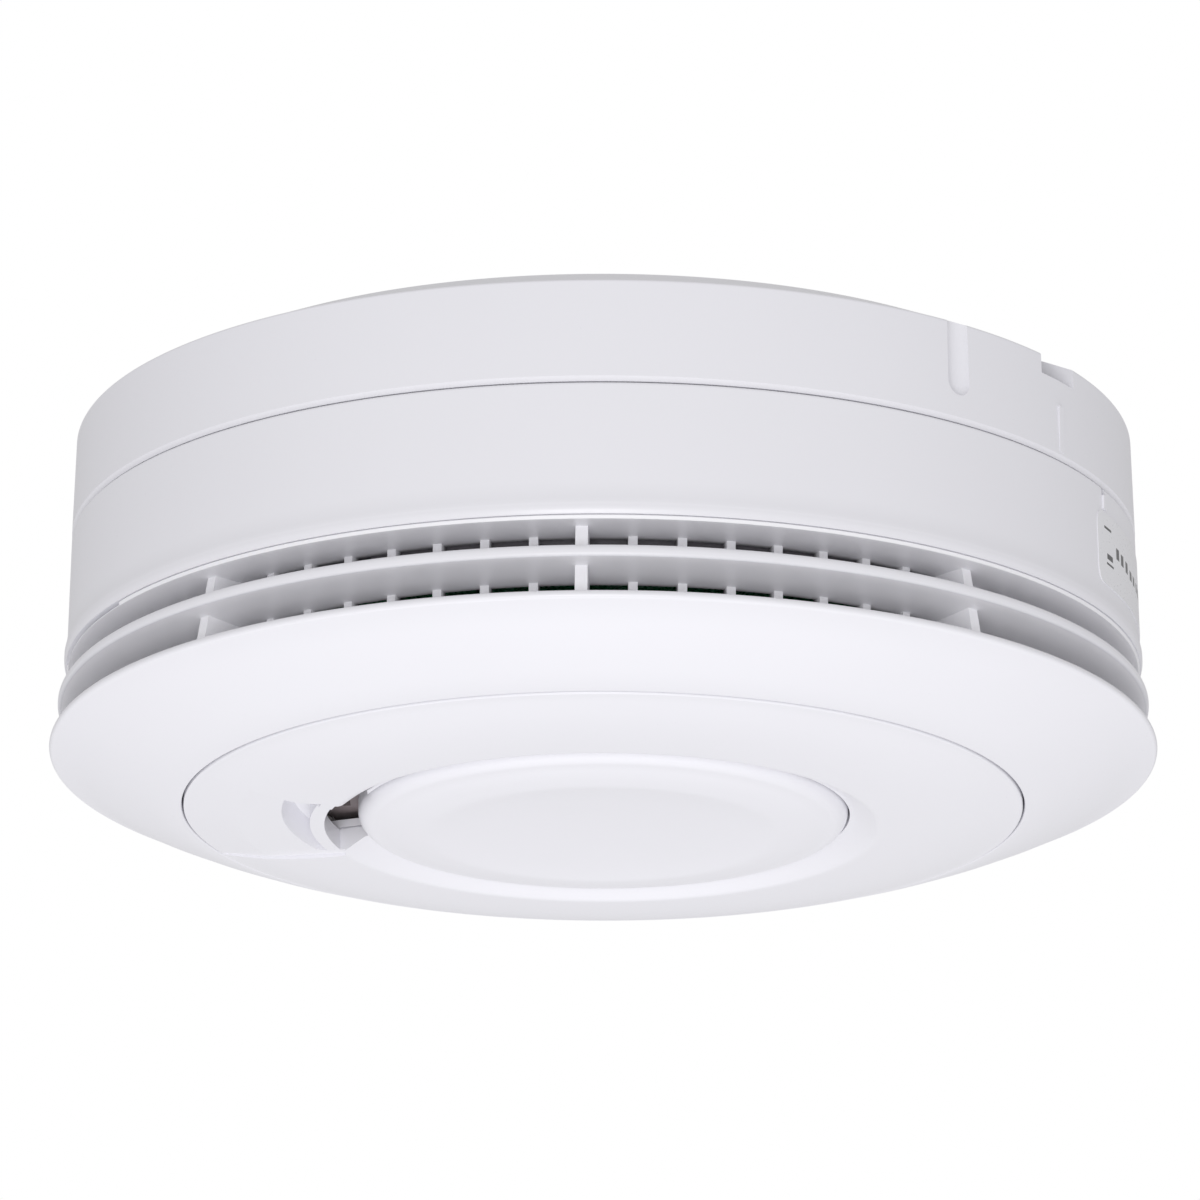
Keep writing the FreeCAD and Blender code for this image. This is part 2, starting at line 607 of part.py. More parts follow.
def button_spring():
    """Short coil spring between the chamber lid and the button."""
    half_wire = SPRING_WIRE / 2
    low = BUTTON_CEILING_Z + half_wire
    high = CHAMBER_BOTTOM_Z - half_wire
    helix = Part.makeLongHelix((high - low) / 3.0, high - low, SPRING_R)
    helix.translate(Vector(0, 0, low))
    section = Part.Wire(Part.makeCircle(half_wire, Vector(SPRING_R, 0, low), Vector(0, 1, 0)))
    return Part.Wire(helix.Edges).makePipeShell([section], True, True)


def test_switch():
    """Body of the push switch that is soldered under the board."""
    body = centred_block(POST_X, POST_Y, 6.2, 6.2, SWITCH_BODY_Z, BOARD_BOTTOM_Z)
    return body.cut(rod(1.8, SWITCH_BODY_Z - 1, BOARD_BOTTOM_Z - 1.0, POST_X, POST_Y))


def test_switch_plunger():
    """Moving tip of the push switch."""
    return rod(1.7, PLUNGER_TIP_Z, BOARD_BOTTOM_Z - 1.5, POST_X, POST_Y)


# ---- circuit board ------------------------------------------------------------------------------
def circuit_board():
    """Round board with screw holes."""
    board = rod(BOARD_R, BOARD_BOTTOM_Z, BOARD_TOP_Z)
    holes = []
    for angle in BOARD_BOSS_ANGLES:
        place = polar(BOSS_R_POSITION, angle)
        holes.append(rod(1.4, BOARD_BOTTOM_Z - 1, BOARD_TOP_Z + 1, place.x, place.y))
    return without(board, holes)


def chip(x, y, side, height, leads, pitch):
    """A flat chip on the top of the board, with leads on two sides."""
    low = BOARD_TOP_Z
    parts = [centred_block(x, y, side, side, low + 0.1, low + height)]
    for index in range(leads):
        lead_x = x + (index - (leads - 1) / 2) * pitch
        parts.append(centred_block(lead_x, y, pitch * 0.45, side + 2.0, low, low + 0.25))
    return joined(parts)


def microcontroller():
    """Control chip."""
    return chip(-14.0, -27.0, 7.0, 1.5, 8, 0.8)


def horn_driver():
    """Driver chip of the sounder."""
    return chip(-18.0, 26.0, 4.4, 1.5, 4, 1.0)


def chip_parts():
    """Small resistors and capacitors, in rows on both faces of the board."""
    parts = []
    for row, y in enumerate((-33.5, -23.0)):
        for index in range(6):
            x = -4.0 + 3.4 * index + row
            parts.append(centred_block(x, y, 2.0, 1.2, BOARD_TOP_Z, BOARD_TOP_Z + 0.6))
    for index in range(6):
        x = -20.0 + 4.0 * index
        z_low = BOARD_BOTTOM_Z - 0.6
        parts.append(centred_block(x, -30.0, 2.0, 1.2, z_low, BOARD_BOTTOM_Z))
        parts.append(centred_block(x, 30.0, 2.0, 1.2, z_low, BOARD_BOTTOM_Z))
    return Part.makeCompound(parts)


def capacitors():
    """Two upright electrolytic capacitors."""
    tall = rod(3.15, BOARD_TOP_Z, BOARD_TOP_Z + 8.0, 20.0, -27.5)
    short = rod(2.5, BOARD_TOP_Z, BOARD_TOP_Z + 6.0, 27.5, -22.5)
    rounded = []
    for can in (tall, short):
        top = max(can.Edges, key=lambda edge: edge.BoundBox.ZMin)
        rounded.append(can.makeFillet(0.4, [top]))
    return Part.makeCompound(rounded)


def boost_inductor():
    """Drum inductor that raises the sounder's voltage."""
    x, y, low = -27.0, -23.0, BOARD_TOP_Z
    drum = [rod(4.0, low, low + 0.9, x, y), rod(2.8, low + 0.9, low + 4.1, x, y),
            rod(4.0, low + 4.1, low + 5.0, x, y)]
    return joined(drum)


def pin_header():
    """Row of five service pins."""
    parts = [centred_block(14.0, 31.0, 12.7, 2.5, BOARD_TOP_Z, BOARD_TOP_Z + 2.5)]
    for index in range(5):
        x = 14.0 + (index - 2) * 2.54
        parts.append(centred_block(x, 31.0, 0.64, 0.64, BOARD_TOP_Z, BOARD_TOP_Z + 8.5))
    return joined(parts)


# ---- battery ------------------------------------------------------------------------------------
def cell_rod(radius, x_low, x_high, y):
    """A cylinder along X at the height of the cells."""
    return Part.makeCylinder(radius, x_high - x_low, Vector(x_low, y, CELL_Z), Vector(1, 0, 0))


def battery_cells():
    """Two sealed lithium cells, side by side and facing opposite ways."""
    half = CELL_LENGTH / 2
    first = cell_rod(CELL_R, -half, half, CELL_Y)
    second = cell_rod(CELL_R, -half, half, -CELL_Y)
    cells = []
    for can, x_low in ((first, half), (second, -half - 1.2)):
        y = CELL_Y if can is first else -CELL_Y
        can = can.makeFillet(0.6, [e for e in can.Edges if e.Curve.TypeId == "Part::GeomCircle"])
        cells.append(joined([can, cell_rod(2.75, x_low - 0.2, x_low + 1.4, y)]))
    return Part.makeCompound(cells)


def battery_cradle():
    """Moulded saddle that keeps the cells off the board."""
    low, high = BOARD_TOP_Z, BOARD_TOP_Z + 5.4
    body = block(-21.0, 21.0, -16.6, 16.6, low, high)
    cutters = [cell_rod(CELL_R + 0.12, -30, 30, CELL_Y), cell_rod(CELL_R + 0.12, -30, 30, -CELL_Y),
               block(-15.0, 15.0, -14.0, 14.0, low - 1, high + 1)]
    return without(body, cutters)


def battery_tabs():
    """Welded strips: one joins the cells, and two go down to the board."""
    half = CELL_LENGTH / 2
    link = joined([
        block(-half - 1.6, -half - 1.4, -CELL_Y - 2.5, 2.2, CELL_Z - 2.5, CELL_Z + 2.5),
        block(-half - 1.6, -half, 2.0, 2.2, CELL_Z - 2.5, CELL_Z + 2.5),
        block(-half - 0.2, -half, 2.0, CELL_Y + 2.5, CELL_Z - 2.5, CELL_Z + 2.5),
    ])
    tabs = [link]
    for x, y in ((half + 1.4, CELL_Y), (half, -CELL_Y)):
        tabs.append(block(x, x + 0.2, y - 2.0, y + 2.0, BOARD_TOP_Z, CELL_Z + 2.5))
    return Part.makeCompound(tabs)


# ---- power switch, worked by the base's peg ----------------------------------------------------
def power_slider():
    """Slide under the deck: the base's peg moves it, and its leg moves the power switch."""
    plate_body = block(-4.0, 4.0, SLIDER_R - 3.6, SLIDER_R + 3.6, -9.2, -7.3)
    leg = block(-1.6, 1.6, SLIDER_R + 2.0, SLIDER_R + 3.6, -15.6, -9.2)
    foot = block(-2.6, 2.6, SLIDER_R - 1.4, SLIDER_R + 3.6, -16.8, -15.4)
    body = joined([plate_body, leg, foot])
    peg_slot = block(-PEG_R - 0.35, PEG_R + 0.35, SLIDER_R - 2.2, SLIDER_R + 2.0, -9.5, -7.0)
    knob_slot = block(-1.05, 1.05, SLIDER_R - 2.0, SLIDER_R + 1.05, -17.0, -15.0)
    return without(body, [peg_slot, knob_slot])


def power_switch():
    """Body of the slide switch on the board."""
    low, high = BOARD_TOP_Z, BOARD_TOP_Z + 4.4
    body = centred_block(-2.1, SLIDER_R, 12.0, 5.2, low, high)
    return body.cut(block(-5.6, 1.4, SLIDER_R - 1.1, SLIDER_R + 1.1, high - 1.2, high + 1))


def power_switch_knob():
    """Moving knob of the slide switch, gripped by the slider's foot."""
    return centred_block(0, SLIDER_R, 2.0, 2.0, BOARD_TOP_Z + 3.4, -15.2)


# ---- smoke chamber ------------------------------------------------------------------------------
def around_chamber(shape):
    """Move a shape from the Z axis to the chamber's own axis."""
    moved = shape.copy()
    moved.translate(Vector(CHAMBER_X, 0, 0))
    return moved


def chamber_base():
    """Floor of the smoke chamber with its ring of angled vanes, which keep light out."""
    parts = [rod(CHAMBER_R, CHAMBER_FLOOR_Z, BOARD_BOTTOM_Z)]
    for index in range(VANES):
        angle = index * TURN / VANES
        long_leg = block(0, 5.4, -0.5, 0.5, CHAMBER_LID_Z, CHAMBER_FLOOR_Z + 0.2)
        long_leg.rotate(CENTRE, AXIS, 42.0)
        short_leg = block(0, 2.4, -0.5, 0.5, CHAMBER_LID_Z, CHAMBER_FLOOR_Z + 0.2)
        short_leg.rotate(CENTRE, AXIS, 118.0)
        vane = long_leg.fuse(short_leg)
        vane.translate(Vector(16.6, 0, 0))
        vane.rotate(CENTRE, AXIS, angle)
        parts.append(vane)
    body = joined(parts)
    lead_holes = []
    for place in emitter_leads() + sensor_leads():
        lead_holes.append(rod(0.5, CHAMBER_FLOOR_Z - 1, BOARD_BOTTOM_Z + 1, place.x, place.y))
    return around_chamber(without(body, lead_holes))


def emitter_leads():
    """Plan places of the emitter's two leads, about the chamber's axis."""
    side = polar(1.27, EMITTER_ANGLE + 90)
    back = polar(14.6, EMITTER_ANGLE)
    return [back + side, back - side]


def sensor_leads():
    """Plan places of the light sensor's two leads, about the chamber's axis."""
    side = polar(1.27, SENSOR_ANGLE + 90)
    back = polar(13.0, SENSOR_ANGLE)
    return [back + side, back - side]


def chamber_lid():
    """Black lid that closes the chamber on the room side."""
    lid = turned([
        (0, CHAMBER_BOTTOM_Z),
        (CHAMBER_R - 0.8, CHAMBER_BOTTOM_Z),
        (CHAMBER_R, CHAMBER_BOTTOM_Z + 0.8),
        (CHAMBER_R, CHAMBER_LID_Z),
        (0, CHAMBER_LID_Z),
    ])
    return around_chamber(lid)


def insect_mesh():
    """Band of mesh round the vanes, which keeps insects out of the chamber."""
    inner, outer = CHAMBER_R - 0.5, CHAMBER_R - 0.2
    rows, columns, wire = 6, 36, 0.5
    step = (CHAMBER_FLOOR_Z - CHAMBER_LID_Z - wire) / rows
    wires = []
    for row in range(rows + 1):
        low = CHAMBER_LID_Z + row * step
        wires.append(ring(inner, outer, low, low + wire))
    for column in range(columns):
        wires.append(radial_block(inner + 0.05, outer - 0.05, wire, CHAMBER_LID_Z,
                                  CHAMBER_FLOOR_Z, (column + 0.5) * TURN / columns))
    return around_chamber(joined(wires))


def optics_holder():
    """Two moulded blocks that aim the emitter and the light sensor."""
    blocks = []
    for angle, inner, outer in ((EMITTER_ANGLE, 6.4, 13.6), (SENSOR_ANGLE, 7.4, 12.2)):
        one = radial_block(inner, outer, 7.4, OPTICS_Z - 3.4, CHAMBER_FLOOR_Z, angle)
        bore = Part.makeCylinder(2.6, 30, polar(0, angle, OPTICS_Z), polar(1, angle))
        blocks.append(one.cut(bore))
    return around_chamber(Part.makeCompound(blocks))


def optic(angle, tip, back, leads):
    """A round-nosed light part, nose inwards, with two leads up to the board."""
    nose = 2.5
    place = polar(tip + nose, angle, OPTICS_Z)
    parts = [Part.makeCylinder(nose, back - tip - nose, place, polar(1, angle)),
             Part.makeSphere(nose, place)]
    for lead in leads:
        parts.append(rod(0.28, OPTICS_Z - 0.3, BOARD_BOTTOM_Z, lead.x, lead.y))
        inward = polar(-1, angle)
        start = Vector(lead.x, lead.y, OPTICS_Z)
        parts.append(Part.makeCylinder(0.28, 1.6, start, inward))
    return around_chamber(joined(parts))


def infrared_emitter():
    """Infrared light source of the chamber."""
    return optic(EMITTER_ANGLE, 5.0, 13.4, emitter_leads())


def light_sensor():
    """Photodiode that sees light scattered by smoke."""
    return optic(SENSOR_ANGLE, 6.0, 12.0, sensor_leads())


# ---- sounder ------------------------------------------------------------------------------------
def around_horn(shape):
    """Move a shape from the Z axis to the sounder's own axis."""
    moved = shape.copy()
    moved.translate(Vector(HORN_X, 0, 0))
    return moved


def horn_housing():
    """Cup that holds the piezo disc over the panel's sound outlet, with a clip for the light pipe."""
    inner = HORN_R - HORN_WALL
    cup = around_horn(turned([
        (0, HORN_BOTTOM_Z),
        (HORN_R, HORN_BOTTOM_Z),
        (HORN_R, BOARD_BOTTOM_Z),
        (inner, BOARD_BOTTOM_Z),
        (inner, DISC_SEAT_Z),
        (inner - 1.2, DISC_SEAT_Z),
        (inner - 1.2, HORN_BOTTOM_Z + 1.2),
        (0, HORN_BOTTOM_Z + 1.2),
    ]))
    clip = rod(PIPE_R + 1.0, CLIP_LOW_Z, CLIP_TOP_Z, PIPE_X, PIPE_Y)
    web = block(PIPE_X - 0.8, PIPE_X + 0.8, 13.8, PIPE_Y - 1.2, CLIP_LOW_Z, CLIP_TOP_Z)
    body = joined([cup, clip, web])
    sound_slot = block(-29.6, -26.4, -6.0, 6.0, HORN_BOTTOM_Z - 0.1, HORN_BOTTOM_Z + 2.0)
    pipe_bore = rod(PIPE_R + 0.05, CLIP_LOW_Z - 1, CLIP_TOP_Z + 1, PIPE_X, PIPE_Y)
    return without(body, [sound_slot, pipe_bore])


def piezo_disc():
    """Thin brass disc that sounds the alarm."""
    return around_horn(rod(DISC_R, DISC_SEAT_Z, DISC_SEAT_Z + 0.3))


def piezo_ceramic():
    """Silvered ceramic layer on the brass disc."""
    return around_horn(rod(10.0, DISC_SEAT_Z + 0.3, DISC_SEAT_Z + 0.55))


def horn_contacts():
    """Two sprung contacts from the board to the brass and to the ceramic."""
    contacts = []
    for x, foot_z in ((11.9, DISC_SEAT_Z + 0.3), (4.0, DISC_SEAT_Z + 0.55)):
        width = 1.6
        top = block(x - 0.6, x + 1.0, -width / 2, width / 2, BOARD_BOTTOM_Z - 0.3, BOARD_BOTTOM_Z)
        stem = block(x - 0.6, x - 0.3, -width / 2, width / 2, foot_z, BOARD_BOTTOM_Z)
        foot = block(x - 0.6, x + 1.0, -width / 2, width / 2, foot_z, foot_z + 0.3)
        contacts.append(joined([top, stem, foot]))
    return around_horn(Part.makeCompound(contacts))


# ---- status light -------------------------------------------------------------------------------
def status_light():
    """Small red light-emitting diode under the board."""
    return centred_block(PIPE_X, PIPE_Y, 3.0, 2.0, BOARD_BOTTOM_Z - 1.2, BOARD_BOTTOM_Z)


def light_pipe():
    """Clear rod that carries the status light down to the sound outlet."""
    upright = rod(PIPE_R, PIPE_LEG_Z, BOARD_BOTTOM_Z - 1.5, PIPE_X, PIPE_Y)
    corner = Part.makeSphere(PIPE_R, Vector(PIPE_X, PIPE_Y, PIPE_LEG_Z))
    end = Vector(PIPE_X, OUTLET_HALF_WIDTH, PIPE_LEG_Z)
    leg = Part.makeCylinder(PIPE_R, PIPE_Y - OUTLET_HALF_WIDTH, end, Vector(0, 1, 0))
    return joined([upright, corner, leg])


# ---- write every piece --------------------------------------------------------------------------
PIECES = {
    "mounting_base": mounting_base,
    "rear_housing": rear_housing,
    "front_cover": front_cover,
    "front_panel": front_panel,
    "test_button": test_button,
    "button_spring": button_spring,
    "test_switch": test_switch,
    "test_switch_plunger": test_switch_plunger,
    "cover_screws": cover_screws,
    "board_screws": board_screws,
    "date_label": date_label,
    "rating_label": rating_label,
    "circuit_board": circuit_board,
    "microcontroller": microcontroller,
    "horn_driver": horn_driver,
    "chip_parts": chip_parts,
    "capacitors": capacitors,
    "boost_inductor": boost_inductor,
    "pin_header": pin_header,
    "battery_cells": battery_cells,
    "battery_cradle": battery_cradle,
    "battery_tabs": battery_tabs,
    "power_slider": power_slider,
    "power_switch": power_switch,
    "power_switch_knob": power_switch_knob,
    "chamber_base": chamber_base,
    "chamber_lid": chamber_lid,
    "insect_mesh": insect_mesh,
    "optics_holder": optics_holder,
    "infrared_emitter": infrared_emitter,
    "light_sensor": light_sensor,
    "horn_housing": horn_housing,
    "piezo_disc": piezo_disc,
    "piezo_ceramic": piezo_ceramic,
    "horn_contacts": horn_contacts,
    "status_light": status_light,
    "light_pipe": light_pipe,
}


def main():
    os.makedirs("parts", exist_ok=True)
    for name, make in PIECES.items():
        write(name, make())


main()
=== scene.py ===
"""Looks of the ceiling smoke detector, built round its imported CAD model.

Metres, in the CAD frame: the origin is the centre of the face that lies on the ceiling, and the
detector hangs below it. The shells' own sizes are written in millimetres, with heights counted from
a level CEILING_Z below the ceiling face. Angles are degrees anticlockwise from +X, seen from above.
"""

import json
import math

import bmesh
import bpy
from mathutils import Matrix, Vector


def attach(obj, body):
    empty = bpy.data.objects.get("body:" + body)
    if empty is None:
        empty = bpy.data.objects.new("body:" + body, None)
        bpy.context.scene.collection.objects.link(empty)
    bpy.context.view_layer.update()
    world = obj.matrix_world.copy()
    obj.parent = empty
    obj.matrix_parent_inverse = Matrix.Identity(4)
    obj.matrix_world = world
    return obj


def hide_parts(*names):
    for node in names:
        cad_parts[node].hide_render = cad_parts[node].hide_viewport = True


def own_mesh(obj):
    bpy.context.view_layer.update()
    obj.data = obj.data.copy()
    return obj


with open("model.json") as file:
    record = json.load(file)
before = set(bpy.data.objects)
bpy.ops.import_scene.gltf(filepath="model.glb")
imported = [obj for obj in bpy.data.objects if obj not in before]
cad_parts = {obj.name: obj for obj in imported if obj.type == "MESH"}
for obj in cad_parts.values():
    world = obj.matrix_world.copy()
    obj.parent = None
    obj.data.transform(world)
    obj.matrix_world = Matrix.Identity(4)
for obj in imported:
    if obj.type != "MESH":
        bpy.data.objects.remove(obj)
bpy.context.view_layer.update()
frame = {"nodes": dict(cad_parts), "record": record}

MM = 0.001
TURN = 360.0

# ---- camera, light and floor --------------------------------------------------------------------
CAMERA_PLACE = Vector((0.0, -812.0, -270.14)) * MM
CAMERA_TARGET = Vector((-0.36, 0.0, -18.86)) * MM
CAMERA_LENS = 243.76
CAMERA_ROLL = 0.097
FLOOR_Z = -2.4
FLOOR_SIZE = 30.0
MIDDLE = (0.0, 0.0, -0.03)
SURROUND_FILL = 0.61
KEY_PLACE = (-0.1, -1.88, -0.71)
KEY_SIZE = 0.8
KEY_POWER = 13.3
LOW_PLACE = (0.0, 0.0, -1.9)
LOW_SIZE = 2.0
LOW_POWER = 15.6

# ---- sizes shared by the shells, in millimetres ------------------------------------------------
CEILING_Z = 1.24
SEGMENTS = 480
SUPPORT = 0.05
ARC_STEP = 6.0
SHARP_ANGLE = 32.0

BASE_TOP_R = 48.9
BASE_SHOULDER_R = 55.0
BASE_SHOULDER_Z = -1.52
BASE_EDGE_R = 55.3
BASE_FOOT_R = 55.6
BASE_BOTTOM_Z = -12.2
BASE_INNER_R = 53.4
BASE_PLATE = 2.0
PLATE_UNDER_Z = CEILING_Z - BASE_PLATE
ABOVE_BASE_Z = CEILING_Z + 1.0
CABLE_HOLE_R = 14.0
CABLE_COLLAR_R = 15.4
CABLE_COLLAR_Z = PLATE_UNDER_Z - 1.6
SCREW_SPACING = 60.0
SCREW_SLOT_R = 2.2
SCREW_SLOT_LENGTH = 8.0
SLOT_END_STEPS = 16
WINDOW_ANGLES = (45.0, 135.0, 225.0, 315.0)
WINDOW_INNER_R = 26.0
WINDOW_OUTER_R = 38.0
WINDOW_SPAN = 34.0
CABLE_NOTCH_ANGLE = -33.5
CABLE_NOTCH_SPAN = 6.6
CABLE_NOTCH_Z = -3.7
CABLE_NOTCH_INNER_R = 49.0
FLUTE_ANGLE = -50.2
FLUTE_R = 1.5
FLUTE_BOTTOM_Z = -7.9
FLUTE_AXIS_R = 55.95
ARC_MIDDLE = 0.7071  # share of the radius halfway round a quarter circle
MARK_WIDTH = 0.9
BASE_MARK_ANGLE = -33.4
BASE_MARK_TOP_Z = -6.5

TWIST = 10.0
BODY_MARK_ANGLE = BASE_MARK_ANGLE + TWIST
LUG_ANGLES = (60.0, 180.0, 300.0)
LUG_SPAN = 9.0
LUG_TOP_Z = -7.8
LUG_LOW_Z = -9.4
LUG_OUTER_R = 52.3
LOCK_LEDGE_INNER_R = 49.0
LOCK_LEDGE_TOP_Z = -9.65
LOCK_LEDGE_LOW_Z = -11.25
STOP_GAP = 0.6
STOP_SPAN = 1.5
STOP_INNER_R = 50.4
STOP_TOP_Z = -1.3

HEAD_TOP_Z = -12.35
HEAD_SHOULDER_R = 55.6
HEAD_WAIST_R = 55.82
HEAD_WAIST_Z = -22.85
HEAD_BOTTOM_Z = -26.05
HEAD_INNER_R = 53.8
LIP_R = 56.12
LIP_Z = -25.1
LIP_FOOT_R = 55.95
NECK_R = 47.5
NECK_INNER_R = 45.7
DECK_TOP_Z = -5.2
DECK_UNDER_Z = -7.0
SHOULDER_UNDER_Z = HEAD_TOP_Z - 1.85
BOARD_TOP_Z = -22.8
BOSS_POSITION = 41.0
BOARD_BOSS_ANGLES = (90.0, 210.0, 330.0)
BOARD_BOSS_R = 3.0
BOARD_HOLE_R = 1.1
BOARD_HOLE_TOP_Z = BOARD_TOP_Z + 8.0
COVER_BOSS_POSITION = 51.1
COVER_BOSS_ANGLES = (45.0, 165.0, 285.0)
COVER_BOSS_R = 2.3
COVER_PILOT_R = 1.25
COVER_HOLE_R = 1.3
COUNTERBORE_R = 2.45
SLIDER_R = 24.0
SLIDER_SLOT_START = 84.5
SLIDER_SLOT_SWEEP = 21.0
RAIL_START_X = -9.0
RAIL_END_X = 5.0
RAIL_LOW_Z = -10.0
RAIL_WIDTH = 1.4
PEG_R = 1.5
PEG_TIP_Z = -8.7

MAIN_RIB_ANGLE = -92.3
VENT_TOP_Z = -26.5
COVER_TOP_R = LIP_FOOT_R - 0.1
COVER_TOP_Z = HEAD_BOTTOM_Z - 0.05
SPIGOT_INNER_R = 52.4
SPIGOT_OUTER_R = HEAD_INNER_R - 0.2
SPIGOT_TOP_Z = -23.4
COVER_RING_TOP_Z = -25.0
PRY_GAP_ANGLE = -163.2
PRY_GAP_SPAN = 23.5
PRY_GAP_R = 54.9
CAGE_OUTER_R = 50.0
CAGE_INNER_R = 48.6
CAGE_TOP_Z = -25.2
CAGE_LOW_Z = -37.4
BAFFLE_TOP_Z = -25.6
BAFFLE_LOW_Z = -28.2
BAFFLE_START = MAIN_RIB_ANGLE - 26.0
BAFFLE_SWEEP = TURN - 15.0
FIN_R = 56.7
FIN_TOP_Z = -29.35
FIN_ROOT_R = 49.1
FIN_ROOT_Z = -31.3
RIM_R = 57.5
RIM_TOP_Z = -34.25
DOME_SLOPE = 0.319
SEAM_R = 43.7
SEAM_Z = -40.55
SEAM_LEDGE_R = 41.6
SEAM_LEDGE_LOW_Z = -39.0
DOME_UNDER_Z = -38.0
MAIN_RIBS = 8
MAIN_RIB_WIDTH = 1.24
RIB_TOP_R = 53.25
RIB_TOP_Z = -26.3
RIB_FOOT_R = 55.0
RIB_FOOT_Z = -35.2
RIB_ROOT_Z = -37.5
CAGE_BARS = 64
CAGE_BAR_WIDTH = 0.92

BELOW_ALL_Z = -44.0
PANEL_R = 43.5
PANEL_EDGE_Z = -40.76
PANEL_TOP_Z = -40.2
PANEL_MIDDLE_R = 38.0
COLLAR_TOP_Z = -39.3
COLLAR_OUTER_R = 26.9
COLLAR_CUT_SPAN = 60.0
HOOK_ANGLES = (45.0, 135.0, 225.0, 315.0)
HOOK_SPAN = 10.0
HOOK_TOP_Z = -37.2
HOOK_FOOT_Z = -39.9
BOWL_R = 28.5
BOWL_Z = -42.55
FACET_DEPTH = 0.22
FACET_PLAN = [(-27.0, -7.0), (-44.5, -16.8), (-44.5, 18.6), (-27.0, 10.2)]
BUTTON_HOLE_R = 25.6
OUTLET_HALF_WIDTH = 9.4
OUTLET_TAPER = 2.2
OUTLET_ROOF_Z = -40.0
ROOF_OUTER_R = 35.2
UPSTAND_TOP_Z = -39.1
UPSTAND_WALL = 1.0
SLIVER_PLAN = [(-28.4, -5.6), (-26.25, -9.3), (-24.8, -12.3), (-23.6, -14.8), (-22.6, -16.0),
               (-22.6, -14.7), (-24.2, -11.0), (-24.2, -4.0)]
JOINT_LINE = 0.2
JOINT_LINE_DEPTH = 0.4
BRIDGE_INNER_R = 28.9
BRIDGE_OUTER_R = 30.4
FINGER_RECESS_X = -4.3
FINGER_RECESS_Y = -3.9
FINGER_RECESS_BOTTOM_R = 30.2
FINGER_RECESS_TOP_R = 27.8
BUTTON_R = 25.4
BUTTON_CREST_R = 23.6
BUTTON_CREST_Z = -42.4
DISH_CENTRE_Z = -42.6
DISH_EDGE_Z = -43.15
DISH_R = 18.2
BUTTON_WALL_R = 23.8
BUTTON_TOP_Z = -39.6
BUTTON_CEILING_Z = -41.1
BUTTON_HOOK_ANGLES = (0.0, 110.0, 250.0)
BUTTON_HOOK_SPAN = 14.0
BUTTON_HOOK_R = 26.8
BUTTON_HOOK_TOP_Z = -38.2
BUTTON_RIBS = 6
BUTTON_RIB_ANGLE = 20.0
BUTTON_RIB_WIDTH = 1.2
BUTTON_RIB_TOP_Z = -40.0
POST_R = 2.0
POST_X = -8.0
POST_Y = -18.0
POST_TOP_Z = -30.25
CHAMBER_BOTTOM_Z = -36.9
SPRING_R = 4.5
SPRING_WIRE_R = 0.25
SPRING_TURNS = 3
SPRING_STEPS = 48
WIRE_SIDES = 12

LABEL_TOP_Z = -15.0
LABEL_LOW_Z = -22.8
LABEL_START = -25.6
LABEL_SWEEP = 30.0
LABEL_CORNER = 1.4
LABEL_FILM = 0.1
LABEL_BACK = -0.03
LABEL_STEPS = 90


def add_camera():
    """A long lens a little below the detector, looking up at it."""
    data = bpy.data.cameras.new("camera")
    data.sensor_width = 36.0
    data.lens = CAMERA_LENS
    data.clip_end = 100.0
    data.dof.use_dof = False
    camera = bpy.data.objects.new("camera", data)
    bpy.context.scene.collection.objects.link(camera)
    facing = (CAMERA_TARGET - CAMERA_PLACE).to_track_quat("-Z", "Y").to_matrix().to_4x4()
    roll = Matrix.Rotation(math.radians(CAMERA_ROLL), 4, "Z")
    camera.matrix_world = Matrix.Translation(CAMERA_PLACE) @ facing @ roll
    bpy.context.scene.camera = camera


def area_light(name, place, size, power, glossy=True):
    """A large square light that faces the detector and isn't seen itself. Glossy: it shows in
    reflections."""
    data = bpy.data.lights.new(name, "AREA")
    data.shape = "SQUARE"
    data.size = size
    data.energy = power
    light = bpy.data.objects.new(name, data)
    bpy.context.scene.collection.objects.link(light)
    light.location = Vector(place)
    light.rotation_euler = (Vector(MIDDLE) - Vector(place)).to_track_quat("-Z", "Y").to_euler()
    light.visible_camera = False
    light.visible_glossy = glossy


def light_scene():
    """A white surround, with soft lights that come mostly from the front and from below."""
    world = bpy.data.worlds.new("surround")
    bpy.context.scene.world = world
    world.use_nodes = True
    nodes, links = world.node_tree.nodes, world.node_tree.links
    seen = nodes["Background"]
    seen.inputs["Color"].default_value = (1.0, 1.0, 1.0, 1.0)
    fill = nodes.new("ShaderNodeBackground")
    fill.inputs["Color"].default_value = (1.0, 0.995, 1.0, 1.0)
    fill.inputs["Strength"].default_value = SURROUND_FILL
    ray = nodes.new("ShaderNodeLightPath")
    choice = nodes.new("ShaderNodeMixShader")
    links.new(ray.outputs["Is Camera Ray"], choice.inputs["Fac"])
    links.new(fill.outputs["Background"], choice.inputs[1])
    links.new(seen.outputs["Background"], choice.inputs[2])
    links.new(choice.outputs["Shader"], nodes["World Output"].inputs["Surface"])
    area_light("key_light", KEY_PLACE, KEY_SIZE, KEY_POWER)
    area_light("low_light", LOW_PLACE, LOW_SIZE, LOW_POWER, glossy=False)
    bpy.context.scene.view_settings.view_transform = "Standard"


